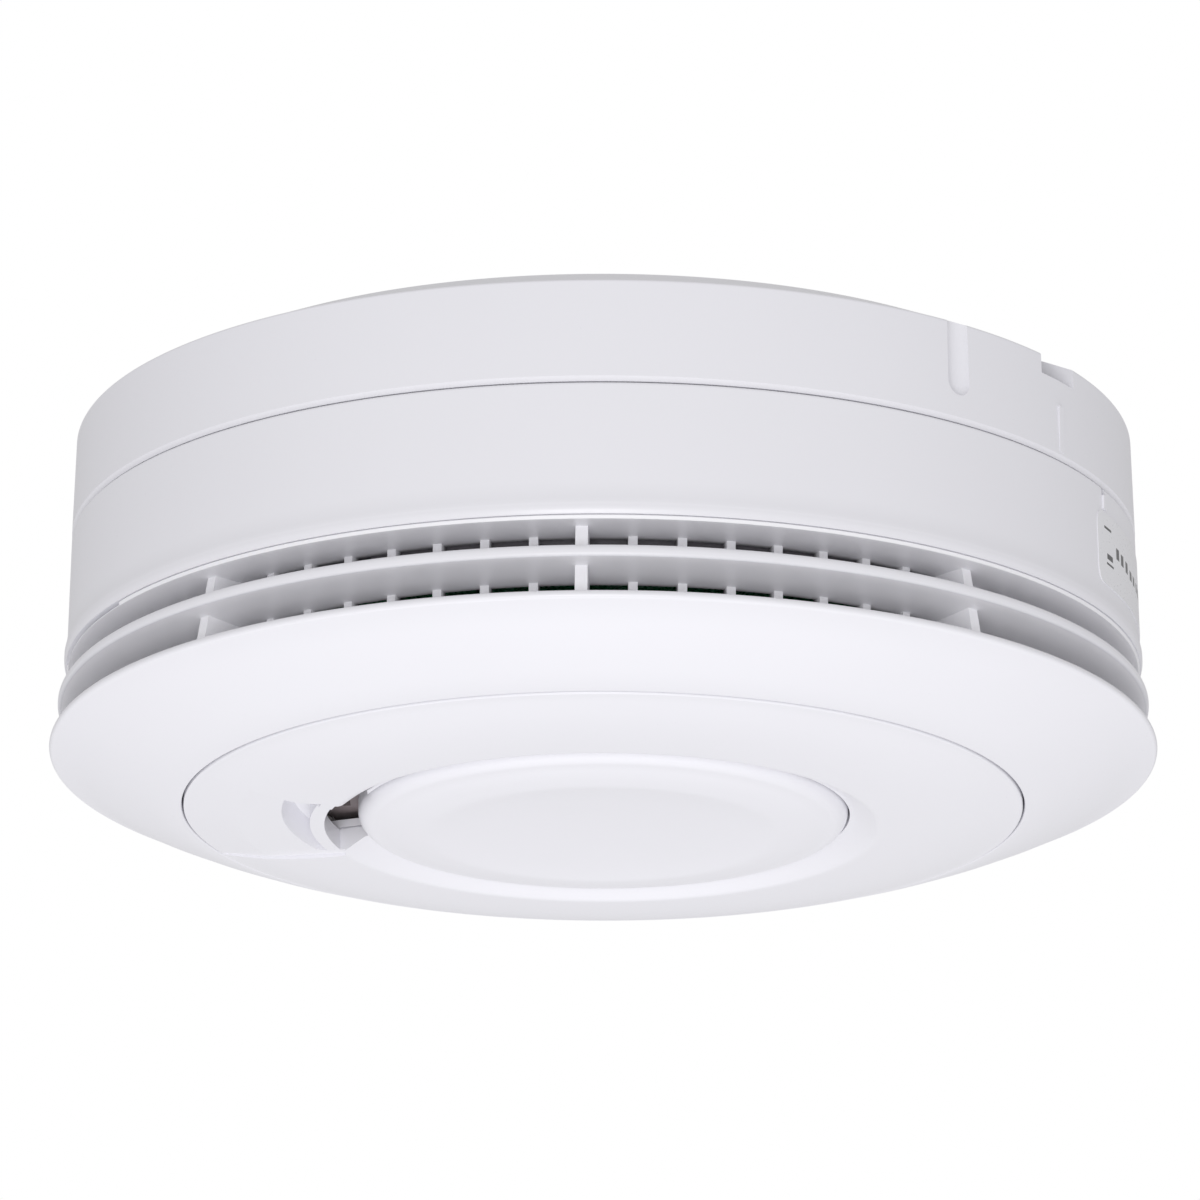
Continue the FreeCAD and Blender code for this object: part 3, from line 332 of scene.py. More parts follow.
def add_floor():
    """Plain pale floor, far below the ceiling that the detector hangs from."""
    mesh = bpy.data.meshes.new("floor")
    half = FLOOR_SIZE / 2
    corners = [(-half, -half, FLOOR_Z), (half, -half, FLOOR_Z), (half, half, FLOOR_Z),
               (-half, half, FLOOR_Z)]
    mesh.from_pydata(corners, [], [(0, 1, 2, 3)])
    floor = bpy.data.objects.new("floor", mesh)
    bpy.context.scene.collection.objects.link(floor)
    mesh.materials.append(surface("floor_paint", (0.88, 0.88, 0.89), (0.92, 0.92, 0.93), 0.7))


# ---- materials ----------------------------------------------------------------------------------
def new_material(name):
    """A node material, and the parts of it that are edited."""
    made = bpy.data.materials.new(name)
    made.use_nodes = True
    tree = made.node_tree
    return made, tree.nodes, tree.links, tree.nodes["Principled BSDF"]


def noise(nodes, links, scale, detail=2.0, roughness=0.5, stretch=(1.0, 1.0, 1.0)):
    """Noise over the object's own coordinates. Scale is features per metre."""
    place = nodes.new("ShaderNodeTexCoord")
    mapping = nodes.new("ShaderNodeMapping")
    mapping.inputs["Scale"].default_value = stretch
    texture = nodes.new("ShaderNodeTexNoise")
    texture.inputs["Scale"].default_value = scale
    texture.inputs["Detail"].default_value = detail
    texture.inputs["Roughness"].default_value = roughness
    links.new(place.outputs["Object"], mapping.inputs["Vector"])
    links.new(mapping.outputs["Vector"], texture.inputs["Vector"])
    return texture.outputs["Fac"]


def spread(nodes, links, source, low, high):
    """A value that follows a 0 to 1 source between a low and a high."""
    mapped = nodes.new("ShaderNodeMapRange")
    mapped.inputs["From Min"].default_value = 0.25
    mapped.inputs["From Max"].default_value = 0.75
    mapped.inputs["To Min"].default_value = low
    mapped.inputs["To Max"].default_value = high
    links.new(source, mapped.inputs["Value"])
    return mapped.outputs["Result"]


def two_tone(nodes, links, source, first, second):
    """A colour that follows a 0 to 1 source between two colours."""
    mixed = nodes.new("ShaderNodeMix")
    mixed.data_type = "RGBA"
    links.new(source, mixed.inputs["Factor"])
    mixed.inputs[6].default_value = (*first, 1.0)
    mixed.inputs[7].default_value = (*second, 1.0)
    return mixed.outputs[2]


def surface(name, first, second, rough, mottle=45.0, grain=0.35, depth=0.003, metallic=0.0,
            clear=0.0, stretch=(1.0, 1.0, 1.0)):
    """A mottle of two colours with a fine grain, which makes the sheen uneven. Sizes are in mm."""
    made, nodes, links, shader = new_material(name)
    coarse = noise(nodes, links, mottle, 3.0, 0.5, stretch)
    links.new(two_tone(nodes, links, coarse, first, second), shader.inputs["Base Color"])
    fine_grain = noise(nodes, links, 1.0 / (grain * MM), 3.0, 0.6, stretch)
    sheen = spread(nodes, links, fine_grain, rough * 0.85, rough * 1.15)
    links.new(sheen, shader.inputs["Roughness"])
    shader.inputs["Metallic"].default_value = metallic
    shader.inputs["Transmission Weight"].default_value = clear
    bump = nodes.new("ShaderNodeBump")
    bump.inputs["Strength"].default_value = 0.25
    bump.inputs["Distance"].default_value = depth * MM
    links.new(fine_grain, bump.inputs["Height"])
    links.new(bump.outputs["Normal"], shader.inputs["Normal"])
    return made


def vent_painted_shading_material():
    """The vents' plastic: a white painted lighter than the shell's, with painted shade between and
    behind the bars of the cage.
    """
    made = surface("vent_plastic_painted_shade_skin", *VENT_PAINTED_LIGHT_WHITE, 0.38)
    tree = made.node_tree
    nodes, links, shader = tree.nodes, tree.links, tree.nodes["Principled BSDF"]
    plain = shader.inputs["Base Color"].links[0].from_socket
    place = nodes.new("ShaderNodeTexCoord")
    flat = nodes.new("ShaderNodeVectorMath")
    flat.operation = "MULTIPLY"
    links.new(place.outputs["Object"], flat.inputs[0])
    flat.inputs[1].default_value = (1.0, 1.0, 0.0)
    radius = nodes.new("ShaderNodeVectorMath")
    radius.operation = "LENGTH"
    links.new(flat.outputs["Vector"], radius.inputs[0])
    # Painted shade: the colour darkens inward of the bars, where little light reaches into the vents.
    ramp = nodes.new("ShaderNodeMapRange")
    ramp.interpolation_type = "SMOOTHSTEP"
    ramp.inputs["From Min"].default_value = VENT_SHADE_INNER_R * MM
    ramp.inputs["From Max"].default_value = VENT_SHADE_OUTER_R * MM
    links.new(radius.outputs["Value"], ramp.inputs["Value"])
    mixed = nodes.new("ShaderNodeMix")
    mixed.data_type = "RGBA"
    links.new(ramp.outputs["Result"], mixed.inputs["Factor"])
    mixed.inputs[6].default_value = (*VENT_PAINTED_SHADE, 1.0)
    links.new(plain, mixed.inputs[7])
    links.new(mixed.outputs[2], shader.inputs["Base Color"])
    return made


def masked(nodes, links, source, middle, half):
    """1 where a source is within half of a middle, else 0."""
    near = nodes.new("ShaderNodeMath")
    near.operation = "COMPARE"
    links.new(source, near.inputs[0])
    near.inputs[1].default_value = middle
    near.inputs[2].default_value = half
    return near.outputs["Value"]


def joined_values(nodes, links, operation, first, second):
    """Two values put through one math node."""
    made = nodes.new("ShaderNodeMath")
    made.operation = operation
    links.new(first, made.inputs[0])
    links.new(second, made.inputs[1])
    return made.outputs["Value"]


def printed_label():
    """White film with blank generic bars where a label has its print."""
    made = surface("printed_label_film", (0.80, 0.80, 0.83), (0.86, 0.86, 0.89), 0.3, depth=0.004)
    tree = made.node_tree
    nodes, links, shader = tree.nodes, tree.links, tree.nodes["Principled BSDF"]
    film = shader.inputs["Base Color"].links[0].from_socket
    place = nodes.new("ShaderNodeTexCoord")
    axes = nodes.new("ShaderNodeSeparateXYZ")
    links.new(place.outputs["Object"], axes.inputs["Vector"])
    turn = joined_values(nodes, links, "ARCTAN2", axes.outputs["Y"], axes.outputs["X"])
    ink = None
    for angle, half_angle, height, half_height in LABEL_BARS:
        across = masked(nodes, links, turn, math.radians(angle), math.radians(half_angle))
        up = masked(nodes, links, axes.outputs["Z"], (height - CEILING_Z) * MM, half_height * MM)
        bar = joined_values(nodes, links, "MULTIPLY", across, up)
        ink = bar if ink is None else joined_values(nodes, links, "MAXIMUM", ink, bar)
    mixed = nodes.new("ShaderNodeMix")
    mixed.data_type = "RGBA"
    links.new(ink, mixed.inputs["Factor"])
    links.new(film, mixed.inputs[6])
    mixed.inputs[7].default_value = (*LABEL_INK, 1.0)
    links.new(mixed.outputs[2], shader.inputs["Base Color"])
    return made


LABEL_INK = (0.05, 0.05, 0.055)
# Each bar has a middle angle, a half angle, a middle height and a half height.
LABEL_BARS = [(-22.6, 1.1, -16.6, 0.14), (-22.2, 0.9, -19.6, 0.3), (-22.2, 1.1, -20.4, 0.12)]
LABEL_BARS += [(angle, 0.55, -18.4 - 0.08 * (angle + 20.0), 0.6) for angle in (-19.4, -17.6, -15.6)]
LABEL_BARS += [(angle, 0.6, -19.0, 0.5) for angle in (-13.4, -11.4, -9.0, -7.0, -5.0, -2.6, -0.6)]

# Painted shade for the vents: their plastic darkens to this colour inward of these radii, behind the
# cage's bars.
VENT_PAINTED_SHADE = (0.07, 0.065, 0.075)
VENT_SHADE_INNER_R = 48.6
VENT_SHADE_OUTER_R = 49.9
# Painted light: the vents' white is lighter than the same plastic on the shell, to lift the shade
# inside the vents.
VENT_PAINTED_LIGHT_WHITE = ((0.93, 0.926, 0.96), (0.95, 0.946, 0.975))
WHITE = ((0.84, 0.836, 0.879), (0.86, 0.856, 0.90))
MATERIALS = {
    "white_plastic": surface("white_plastic_skin", *WHITE, 0.32),
    "button_plastic": surface("button_plastic_skin", *WHITE, 0.36, mottle=60.0, grain=0.8, depth=0.001),
    "spring_steel": surface("spring_steel_skin", (0.55, 0.55, 0.54), (0.66, 0.66, 0.64), 0.25,
                            metallic=1.0, stretch=(1.0, 1.0, 12.0)),
    "zinc_steel": surface("zinc_steel_skin", (0.62, 0.62, 0.60), (0.76, 0.76, 0.74), 0.38,
                          mottle=600.0, metallic=1.0),
    "chip_black": surface("chip_black_skin", (0.022, 0.022, 0.023), (0.04, 0.04, 0.042), 0.55,
                          mottle=900.0, grain=0.15),
    "natural_plastic": surface("natural_plastic_skin", (0.70, 0.68, 0.61), (0.76, 0.74, 0.68), 0.45),
    "label_film": surface("label_film_skin", (0.80, 0.81, 0.82), (0.85, 0.86, 0.87), 0.35,
                          depth=0.004),
    "board": surface("board_skin", (0.012, 0.16, 0.055), (0.03, 0.26, 0.10), 0.28, mottle=260.0),
    "chip_ceramic": surface("chip_ceramic_skin", (0.30, 0.22, 0.14), (0.42, 0.33, 0.23), 0.5,
                            mottle=900.0),
    "capacitor_can": surface("capacitor_can_skin", (0.50, 0.51, 0.53), (0.62, 0.63, 0.65), 0.3,
                             metallic=1.0, stretch=(1.0, 1.0, 0.1)),
    "ferrite": surface("ferrite_skin", (0.05, 0.05, 0.055), (0.085, 0.085, 0.09), 0.6,
                       mottle=700.0, grain=0.2, depth=0.03),
    "gilt_pins": surface("gilt_pins_skin", (0.70, 0.55, 0.20), (0.82, 0.67, 0.31), 0.25,
                         mottle=300.0, metallic=1.0),
    "cell_sleeve": surface("cell_sleeve_skin", (0.09, 0.26, 0.33), (0.14, 0.33, 0.40), 0.25,
                           stretch=(0.2, 1.0, 1.0)),
    "chamber_black": surface("chamber_black_skin", (0.012, 0.012, 0.012), (0.022, 0.022, 0.022),
                             0.7, grain=0.25, depth=0.03),
    "clear_epoxy": surface("clear_epoxy_skin", (0.86, 0.90, 0.95), (0.92, 0.95, 0.98), 0.08,
                           clear=0.9, depth=0.002),
    "dark_epoxy": surface("dark_epoxy_skin", (0.04, 0.015, 0.03), (0.065, 0.03, 0.05), 0.15,
                          depth=0.002),
    "horn_plastic": surface("horn_plastic_skin", (0.19, 0.155, 0.16), (0.23, 0.195, 0.20), 0.5),
    "disc_brass": surface("disc_brass_skin", (0.74, 0.57, 0.26), (0.82, 0.66, 0.34), 0.3,
                          metallic=1.0, stretch=(1.0, 8.0, 1.0)),
    "silvered_ceramic": surface("silvered_ceramic_skin", (0.72, 0.71, 0.69), (0.82, 0.81, 0.79),
                                0.42, mottle=500.0, metallic=1.0),
    "red_light": surface("red_light_skin", (0.62, 0.03, 0.03), (0.75, 0.07, 0.05), 0.2, clear=0.3,
                         depth=0.002),
    "clear_acrylic": surface("clear_acrylic_skin", (0.93, 0.86, 0.86), (0.96, 0.91, 0.91), 0.08,
                             clear=0.9, depth=0.002),
}


def dress_nodes():
    """Every CAD node takes the material of its record slot."""
    for part in frame["record"]["subparts"]:
        mesh = frame["nodes"][part["node"]].data
        mesh.materials.clear()
        mesh.materials.append(MATERIALS[part["material_slot"]])


# ---- shapes -------------------------------------------------------------------------------------
def arc(start, middle, end):
    """Points from after a start to an end, along the arc through a middle point."""
    ax, ay, bx, by, cx, cy = *start, *middle, *end
    spin = 2 * (ax * (by - cy) + bx * (cy - ay) + cx * (ay - by))
    sa, sb, sc = ax * ax + ay * ay, bx * bx + by * by, cx * cx + cy * cy
    ox = (sa * (by - cy) + sb * (cy - ay) + sc * (ay - by)) / spin
    oy = (sa * (cx - bx) + sb * (ax - cx) + sc * (bx - ax)) / spin
    radius = math.hypot(ax - ox, ay - oy)
    first = math.atan2(ay - oy, ax - ox)
    span = math.remainder(math.atan2(by - oy, bx - ox) - first, math.tau)
    span += math.remainder(math.atan2(cy - oy, cx - ox) - first - span, math.tau)
    steps = max(4, math.ceil(math.degrees(abs(span)) / ARC_STEP))
    turns = [first + span * (step + 1) / steps for step in range(steps)]
    return [(ox + radius * math.cos(turn), oy + radius * math.sin(turn)) for turn in turns]


def fine(points):
    """A closed outline of (r, z) points. (r, z, mid_r, mid_z) arrives by an arc. Long straight runs
    get a point near each end, which keeps the shading of their flat part flat."""
    made = []
    for index, point in enumerate(points):
        start, end = Vector(points[index - 1][:2]), Vector(point[:2])
        if len(point) == 4:
            made += arc(tuple(start), point[2:], tuple(end))
            continue
        run = end - start
        if run.length > 4 * SUPPORT:
            step = run.normalized() * SUPPORT
            made += [tuple(start + step), tuple(end - step)]
        made.append(tuple(end))
    return made


def place_of(radius, angle, z):
    """A place in metres from a radius, an angle and a height in millimetres."""
    turn = math.radians(angle)
    return Vector((radius * math.cos(turn), radius * math.sin(turn), z - CEILING_Z)) * MM


def skin(rings, closed):
    """A closed mesh over rings of places, one ring after the other."""
    made = bmesh.new()
    known = {}
    columns = []
    for ring_places in rings:
        column = []
        for place in ring_places:
            key = tuple(round(value, 9) for value in place)
            if key not in known:
                known[key] = made.verts.new(place)
            column.append(known[key])
        columns.append(column)
    last = len(columns) if closed else len(columns) - 1
    for index in range(last):
        here, there = columns[index], columns[(index + 1) % len(columns)]
        for row in range(len(here)):
            corners = (here[row - 1], here[row], there[row], there[row - 1])
            corners = list(dict.fromkeys(corners))
            if len(corners) > 2:
                made.faces.new(corners)
    if not closed:
        made.faces.new(columns[0])
        made.faces.new(columns[-1])
    bmesh.ops.recalc_face_normals(made, faces=made.faces)
    return made


def turned(points, start=0.0, sweep=TURN, bend=None):
    """The body that an outline makes as it turns about the axis. Bend may move a point by angle."""
    rows = fine(points)
    count = max(4, round(SEGMENTS * sweep / TURN))
    closed = sweep == TURN
    rings = []
    for index in range(count if closed else count + 1):
        angle = start + sweep * index / count
        at = [bend(angle, r, z) if bend else (r, z) for r, z in rows]
        rings.append([place_of(r, angle, z) for r, z in at])
    return skin(rings, closed)


def ring(inner, outer, low, high, start=0.0, sweep=TURN):
    """A ring, or a sector of one."""
    return turned([(inner, low), (outer, low), (outer, high), (inner, high)], start, sweep)


def sector(inner, outer, low, high, middle, span):
    """A sector of a ring given by its middle angle and its span."""
    return ring(inner, outer, low, high, middle - span / 2, span)


def prism(plan, low, high, angle=0.0):
    """An upright prism over (x, y) corners, turned by an angle about the axis."""
    spin = Matrix.Rotation(math.radians(angle), 4, "Z")
    levels = []
    for z in (low, high):
        levels.append([spin @ (Vector((x, y, z - CEILING_Z)) * MM) for x, y in plan])
    return skin(levels, False)


def radial_block(inner, outer, width, low, high, angle):
    """A box that lies along a radius."""
    half = width / 2
    plan = [(inner, -half), (outer, -half), (outer, half), (inner, half)]
    return prism(plan, low, high, angle)


def rod(radius, low, high, x=0.0, y=0.0, sides=64):
    """An upright round bar."""
    turns = [math.tau * side / sides for side in range(sides)]
    return prism([(x + radius * math.cos(t), y + radius * math.sin(t)) for t in turns], low, high)


def rod_at(radius, low, high, distance, angle):
    """An upright round bar at a distance and angle from the axis."""
    turn = math.radians(angle)
    return rod(radius, low, high, distance * math.cos(turn), distance * math.sin(turn))


def web(outline, width, angle):
    """An (r, z) outline with a width, standing along a radius."""
    spin = Matrix.Rotation(math.radians(angle), 4, "Z")
    sides = []
    for y in (-width / 2, width / 2):
        sides.append([spin @ (Vector((r, y, z - CEILING_Z)) * MM) for r, z in outline])
    return skin(sides, False)


def gathered(parts):
    """One mesh that holds every part, and the parts are used up."""
    whole = bmesh.new()
    for part in parts:
        step = bpy.data.meshes.new("step")
        part.to_mesh(step)
        part.free()
        whole.from_mesh(step)
        bpy.data.meshes.remove(step)
    return whole


def as_object(name, made):
    """A scene object from a bmesh."""
    mesh = bpy.data.meshes.new(name)
    made.to_mesh(mesh)
    made.free()
    held = bpy.data.objects.new(name, mesh)
    bpy.context.scene.collection.objects.link(held)
    return held


def combined(first, second, operation, overlapping=False):
    """Two closed bodies put through an exact boolean. Overlapping: the second overlaps itself."""
    target, tool = as_object("target", first), as_object("tool", second)
    change = target.modifiers.new("change", "BOOLEAN")
    change.operation = operation
    change.solver = "EXACT"
    change.use_self = overlapping
    change.object = tool
    graph = bpy.context.evaluated_depsgraph_get()
    result = bpy.data.meshes.new_from_object(target.evaluated_get(graph))
    made = bmesh.new()
    made.from_mesh(result)
    bpy.data.meshes.remove(result)
    for used in (target, tool):
        mesh = used.data
        bpy.data.objects.remove(used)
        bpy.data.meshes.remove(mesh)
    return made


def piece(name, made, body, node, material_slot, material=None, hidden_side=None):
    """A finished piece that stands for a CAD node and moves with its body. Hidden_side picks, by
    radius and height, the faces that are in the vents, which take the vent material with its painted
    light and shade."""
    made_object = as_object(name, made)
    mesh = made_object.data
    mesh.materials.clear()
    mesh.materials.append(material or MATERIALS[material_slot])
    if hidden_side:
        mesh.materials.append(vent_painted_shading_material())
    for face in mesh.polygons:
        face.use_smooth = True
        middle = face.center / MM
        radius, z = math.hypot(middle.x, middle.y), middle.z + CEILING_Z
        face.material_index = 1 if hidden_side and hidden_side(radius, z) else 0
    mesh.set_sharp_from_angle(angle=math.radians(SHARP_ANGLE))
    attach(made_object, body)
    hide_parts(node)
    return made_object


# ---- shells -------------------------------------------------------------------------------------
def base_shell():
    """The mounting base, with its flute, cable notch, screw slots and plate windows."""
    body = turned([
        (CABLE_HOLE_R, CEILING_Z),
        (BASE_TOP_R, CEILING_Z),
        (BASE_SHOULDER_R, BASE_SHOULDER_Z),
        (BASE_EDGE_R, BASE_SHOULDER_Z - 0.33, BASE_EDGE_R - 0.08, BASE_SHOULDER_Z - 0.11),
        (BASE_FOOT_R, BASE_BOTTOM_Z + 0.5),
        (BASE_FOOT_R - 0.3, BASE_BOTTOM_Z),
        (BASE_INNER_R, BASE_BOTTOM_Z),
        (BASE_INNER_R - 0.2, BASE_SHOULDER_Z - 1.58),
        (BASE_TOP_R - 0.7, PLATE_UNDER_Z),
        (CABLE_COLLAR_R, PLATE_UNDER_Z),
        (CABLE_COLLAR_R, CABLE_COLLAR_Z),
        (CABLE_HOLE_R, CABLE_COLLAR_Z),
    ])
    low = PLATE_UNDER_Z - 1.0
    cutters = []
    half_slot = SCREW_SLOT_LENGTH / 2 - SCREW_SLOT_R
    for side in (-1, 1):
        plan = []
        for end, first in ((1, -90.0), (-1, 90.0)):
            middle = side * SCREW_SPACING / 2 + end * half_slot
            for step in range(SLOT_END_STEPS + 1):
                turn = math.radians(first + TURN / 2 * step / SLOT_END_STEPS)
                plan.append((middle + SCREW_SLOT_R * math.cos(turn), SCREW_SLOT_R * math.sin(turn)))
        cutters.append(prism(plan, low, ABOVE_BASE_Z))
    for angle in WINDOW_ANGLES:
        cutters.append(sector(WINDOW_INNER_R, WINDOW_OUTER_R, low, ABOVE_BASE_Z, angle, WINDOW_SPAN))
    cutters.append(sector(CABLE_NOTCH_INNER_R, BASE_FOOT_R + 1.0, CABLE_NOTCH_Z, ABOVE_BASE_Z,
                          CABLE_NOTCH_ANGLE, CABLE_NOTCH_SPAN))
    diagonal = FLUTE_R * ARC_MIDDLE
    flute = turned([
        (0.0, FLUTE_BOTTOM_Z - FLUTE_R),
        (FLUTE_R, FLUTE_BOTTOM_Z, diagonal, FLUTE_BOTTOM_Z - diagonal),
        (FLUTE_R, ABOVE_BASE_Z),
        (0.0, ABOVE_BASE_Z),
    ])
    shift = place_of(FLUTE_AXIS_R, FLUTE_ANGLE, CEILING_Z)
    bmesh.ops.translate(flute, verts=flute.verts, vec=shift)
    body = combined(body, gathered(cutters + [flute]), "DIFFERENCE")
    parts = [body, rod(PEG_R, PEG_TIP_Z, PLATE_UNDER_Z + 0.1, 0.0, SLIDER_R)]
    wall = BASE_INNER_R + 0.2
    for angle in LUG_ANGLES:
        parts.append(sector(LOCK_LEDGE_INNER_R, wall, LOCK_LEDGE_LOW_Z, LOCK_LEDGE_TOP_Z, angle,
                            LUG_SPAN))
        locked = angle + LUG_SPAN / 2 + STOP_GAP
        released = angle - LUG_SPAN / 2 - TWIST - STOP_GAP - STOP_SPAN
        for start in (locked, released):
            parts.append(ring(STOP_INNER_R, wall, LOCK_LEDGE_LOW_Z, STOP_TOP_Z, start, STOP_SPAN))
    parts.append(radial_block(BASE_FOOT_R - 1.0, BASE_FOOT_R + 0.05, MARK_WIDTH,
                              BASE_BOTTOM_Z + 0.8, BASE_MARK_TOP_Z, BASE_MARK_ANGLE))
    piece("mounting_base_shell", gathered(parts), "base", "mounting_base", "white_plastic")


def rear_shell():
    """The rear half of the head, with the long side wall and its rounded lip."""
    body = turned([
        (0.0, DECK_TOP_Z),
        (NECK_R - 0.6, DECK_TOP_Z),
        (NECK_R, DECK_TOP_Z - 0.6),
        (NECK_R, HEAD_TOP_Z),
        (HEAD_SHOULDER_R - 0.3, HEAD_TOP_Z),
        (HEAD_SHOULDER_R, HEAD_TOP_Z - 0.3, HEAD_SHOULDER_R - 0.09, HEAD_TOP_Z - 0.09),
        (HEAD_WAIST_R, HEAD_WAIST_Z),
        (LIP_R, LIP_Z + 0.2, HEAD_WAIST_R + 0.1, HEAD_WAIST_Z - 1.1),
        (LIP_R, LIP_Z),
        (LIP_FOOT_R, HEAD_BOTTOM_Z, LIP_R - 0.02, LIP_Z - 0.55),
        (HEAD_INNER_R, HEAD_BOTTOM_Z),
        (HEAD_INNER_R - 0.1, SHOULDER_UNDER_Z),
        (NECK_INNER_R, SHOULDER_UNDER_Z),
        (NECK_INNER_R, DECK_UNDER_Z),
        (0.0, DECK_UNDER_Z),
    ])
    cutters = [radial_block(HEAD_SHOULDER_R - 0.7, RIM_R + 0.5, MARK_WIDTH, HEAD_TOP_Z - 0.9,
                            HEAD_TOP_Z + 1, BODY_MARK_ANGLE)]
    for angle in COVER_BOSS_ANGLES:
        cutters.append(rod_at(COUNTERBORE_R, HEAD_TOP_Z - 1.0, HEAD_TOP_Z + 1, COVER_BOSS_POSITION,
                              angle))
        cutters.append(rod_at(COVER_HOLE_R, HEAD_TOP_Z - 3, HEAD_TOP_Z - 0.5, COVER_BOSS_POSITION,
                              angle))
    cutters.append(ring(SLIDER_R - 2.0, SLIDER_R + 2.0, DECK_UNDER_Z - 2, DECK_TOP_Z + 1.2,
                        SLIDER_SLOT_START, SLIDER_SLOT_SWEEP))
    body = combined(body, gathered(cutters), "DIFFERENCE", True)
    parts = [body]
    for angle in LUG_ANGLES:
        parts.append(sector(NECK_R - 0.5, LUG_OUTER_R, LUG_LOW_Z, LUG_TOP_Z, angle, LUG_SPAN))
    for angle in BOARD_BOSS_ANGLES:
        hole = rod_at(BOARD_HOLE_R, BOARD_TOP_Z - 1, BOARD_HOLE_TOP_Z, BOSS_POSITION, angle)
        boss = rod_at(BOARD_BOSS_R, BOARD_TOP_Z, DECK_UNDER_Z + 0.1, BOSS_POSITION, angle)
        parts.append(combined(boss, hole, "DIFFERENCE"))
        parts.append(radial_block(BOSS_POSITION + 2.0, NECK_INNER_R + 0.2, 1.2, BOARD_HOLE_TOP_Z,
                                  DECK_UNDER_Z + 0.1, angle))
    for y in (SLIDER_R - 5.3, SLIDER_R + 3.9):
        far_y = y + RAIL_WIDTH
        plan = [(RAIL_START_X, y), (RAIL_END_X, y), (RAIL_END_X, far_y), (RAIL_START_X, far_y)]
        parts.append(prism(plan, RAIL_LOW_Z, DECK_UNDER_Z + 0.1))
    parts.append(radial_block(HEAD_SHOULDER_R - 1, HEAD_SHOULDER_R + 0.25, 0.8, HEAD_TOP_Z - 2.4,
                              HEAD_TOP_Z - 0.9, BODY_MARK_ANGLE))
    piece("rear_housing_shell", gathered(parts), "head", "rear_housing", "white_plastic")


def pry_gap(angle, radius, z):
    """Moves the top corner of the cover's ring inwards, where the head can be prised open."""
    inside = min(1.0, max(0.0, PRY_GAP_SPAN / 2 - abs((angle - PRY_GAP_ANGLE + 180) % TURN - 180)))
    if radius > PRY_GAP_R and HEAD_BOTTOM_Z - 0.2 < z:
        radius += (PRY_GAP_R - radius) * inside
    return radius, z


def in_vents(radius, z):
    """True above a cone that lies between the dome's two faces, and inside the fin's edge."""
    return radius < FIN_R - 0.6 and z > RIM_TOP_Z - 0.35 - DOME_SLOPE * (RIM_R - radius)


def cover_shell():
    """The vented front cover: top ring, fin, dome, ribs and the cage of upright bars."""
    parts = [turned([
        (CAGE_INNER_R - 0.2, COVER_RING_TOP_Z),
        (SPIGOT_INNER_R, COVER_RING_TOP_Z),
        (SPIGOT_INNER_R, SPIGOT_TOP_Z),
        (SPIGOT_OUTER_R, SPIGOT_TOP_Z),
        (SPIGOT_OUTER_R, COVER_TOP_Z),
        (COVER_TOP_R - 0.08, COVER_TOP_Z),
        (COVER_TOP_R, COVER_TOP_Z - 0.1),
        (COVER_TOP_R - 0.15, VENT_TOP_Z),
        (CAGE_INNER_R - 0.2, VENT_TOP_Z),
    ], bend=pry_gap)]
    parts.append(turned([
        (FIN_ROOT_R, FIN_TOP_Z - 0.6),
        (FIN_R - 0.5, FIN_TOP_Z),
        (FIN_R, FIN_TOP_Z - 0.85, FIN_R - 0.1, FIN_TOP_Z - 0.35),
        (FIN_R - 0.35, FIN_TOP_Z - 1.25, FIN_R - 0.08, FIN_TOP_Z - 1.12),
        (FIN_ROOT_R, FIN_ROOT_Z),
    ]))
    parts.append(turned([
        (CAGE_INNER_R - 0.1, DOME_UNDER_Z + 0.8),
        (SEAM_LEDGE_R + 3.0, DOME_UNDER_Z),
        (SEAM_LEDGE_R, DOME_UNDER_Z),
        (SEAM_LEDGE_R, SEAM_LEDGE_LOW_Z),
        (SEAM_R, SEAM_LEDGE_LOW_Z),
        (SEAM_R, SEAM_Z + 0.15),
        (SEAM_R + 0.2, SEAM_Z - 0.03, SEAM_R + 0.05, SEAM_Z + 0.03),
        (RIM_R - 0.4, RIM_TOP_Z - 0.95, 50.7, -38.17),
        (RIM_R, RIM_TOP_Z - 0.45, RIM_R - 0.05, RIM_TOP_Z - 0.72),
        (RIM_R - 0.6, RIM_TOP_Z, RIM_R - 0.2, RIM_TOP_Z - 0.12),
    ]))
    for index in range(CAGE_BARS):
        angle = MAIN_RIB_ANGLE + index * TURN / CAGE_BARS
        parts.append(radial_block(CAGE_INNER_R, CAGE_OUTER_R, CAGE_BAR_WIDTH, CAGE_LOW_Z,
                                  CAGE_TOP_Z, angle))
    outline = [(CAGE_INNER_R, RIB_TOP_Z), (RIB_TOP_R, RIB_TOP_Z), (RIB_FOOT_R, RIB_FOOT_Z),
               (CAGE_INNER_R, RIB_ROOT_Z)]
    for index in range(MAIN_RIBS):
        parts.append(web(outline, MAIN_RIB_WIDTH, MAIN_RIB_ANGLE + index * TURN / MAIN_RIBS))
    parts.append(ring(CAGE_INNER_R - 1.2, CAGE_INNER_R + 0.1, BAFFLE_LOW_Z, BAFFLE_TOP_Z,
                      BAFFLE_START, BAFFLE_SWEEP))
    for angle in COVER_BOSS_ANGLES:
        pilot = rod_at(COVER_PILOT_R, SPIGOT_TOP_Z + 0.4, HEAD_TOP_Z, COVER_BOSS_POSITION, angle)
        boss = rod_at(COVER_BOSS_R, CAGE_TOP_Z, SHOULDER_UNDER_Z, COVER_BOSS_POSITION, angle)
        parts.append(combined(boss, pilot, "DIFFERENCE"))
    piece("front_cover_shell", gathered(parts), "head", "front_cover", "white_plastic",
          hidden_side=in_vents)


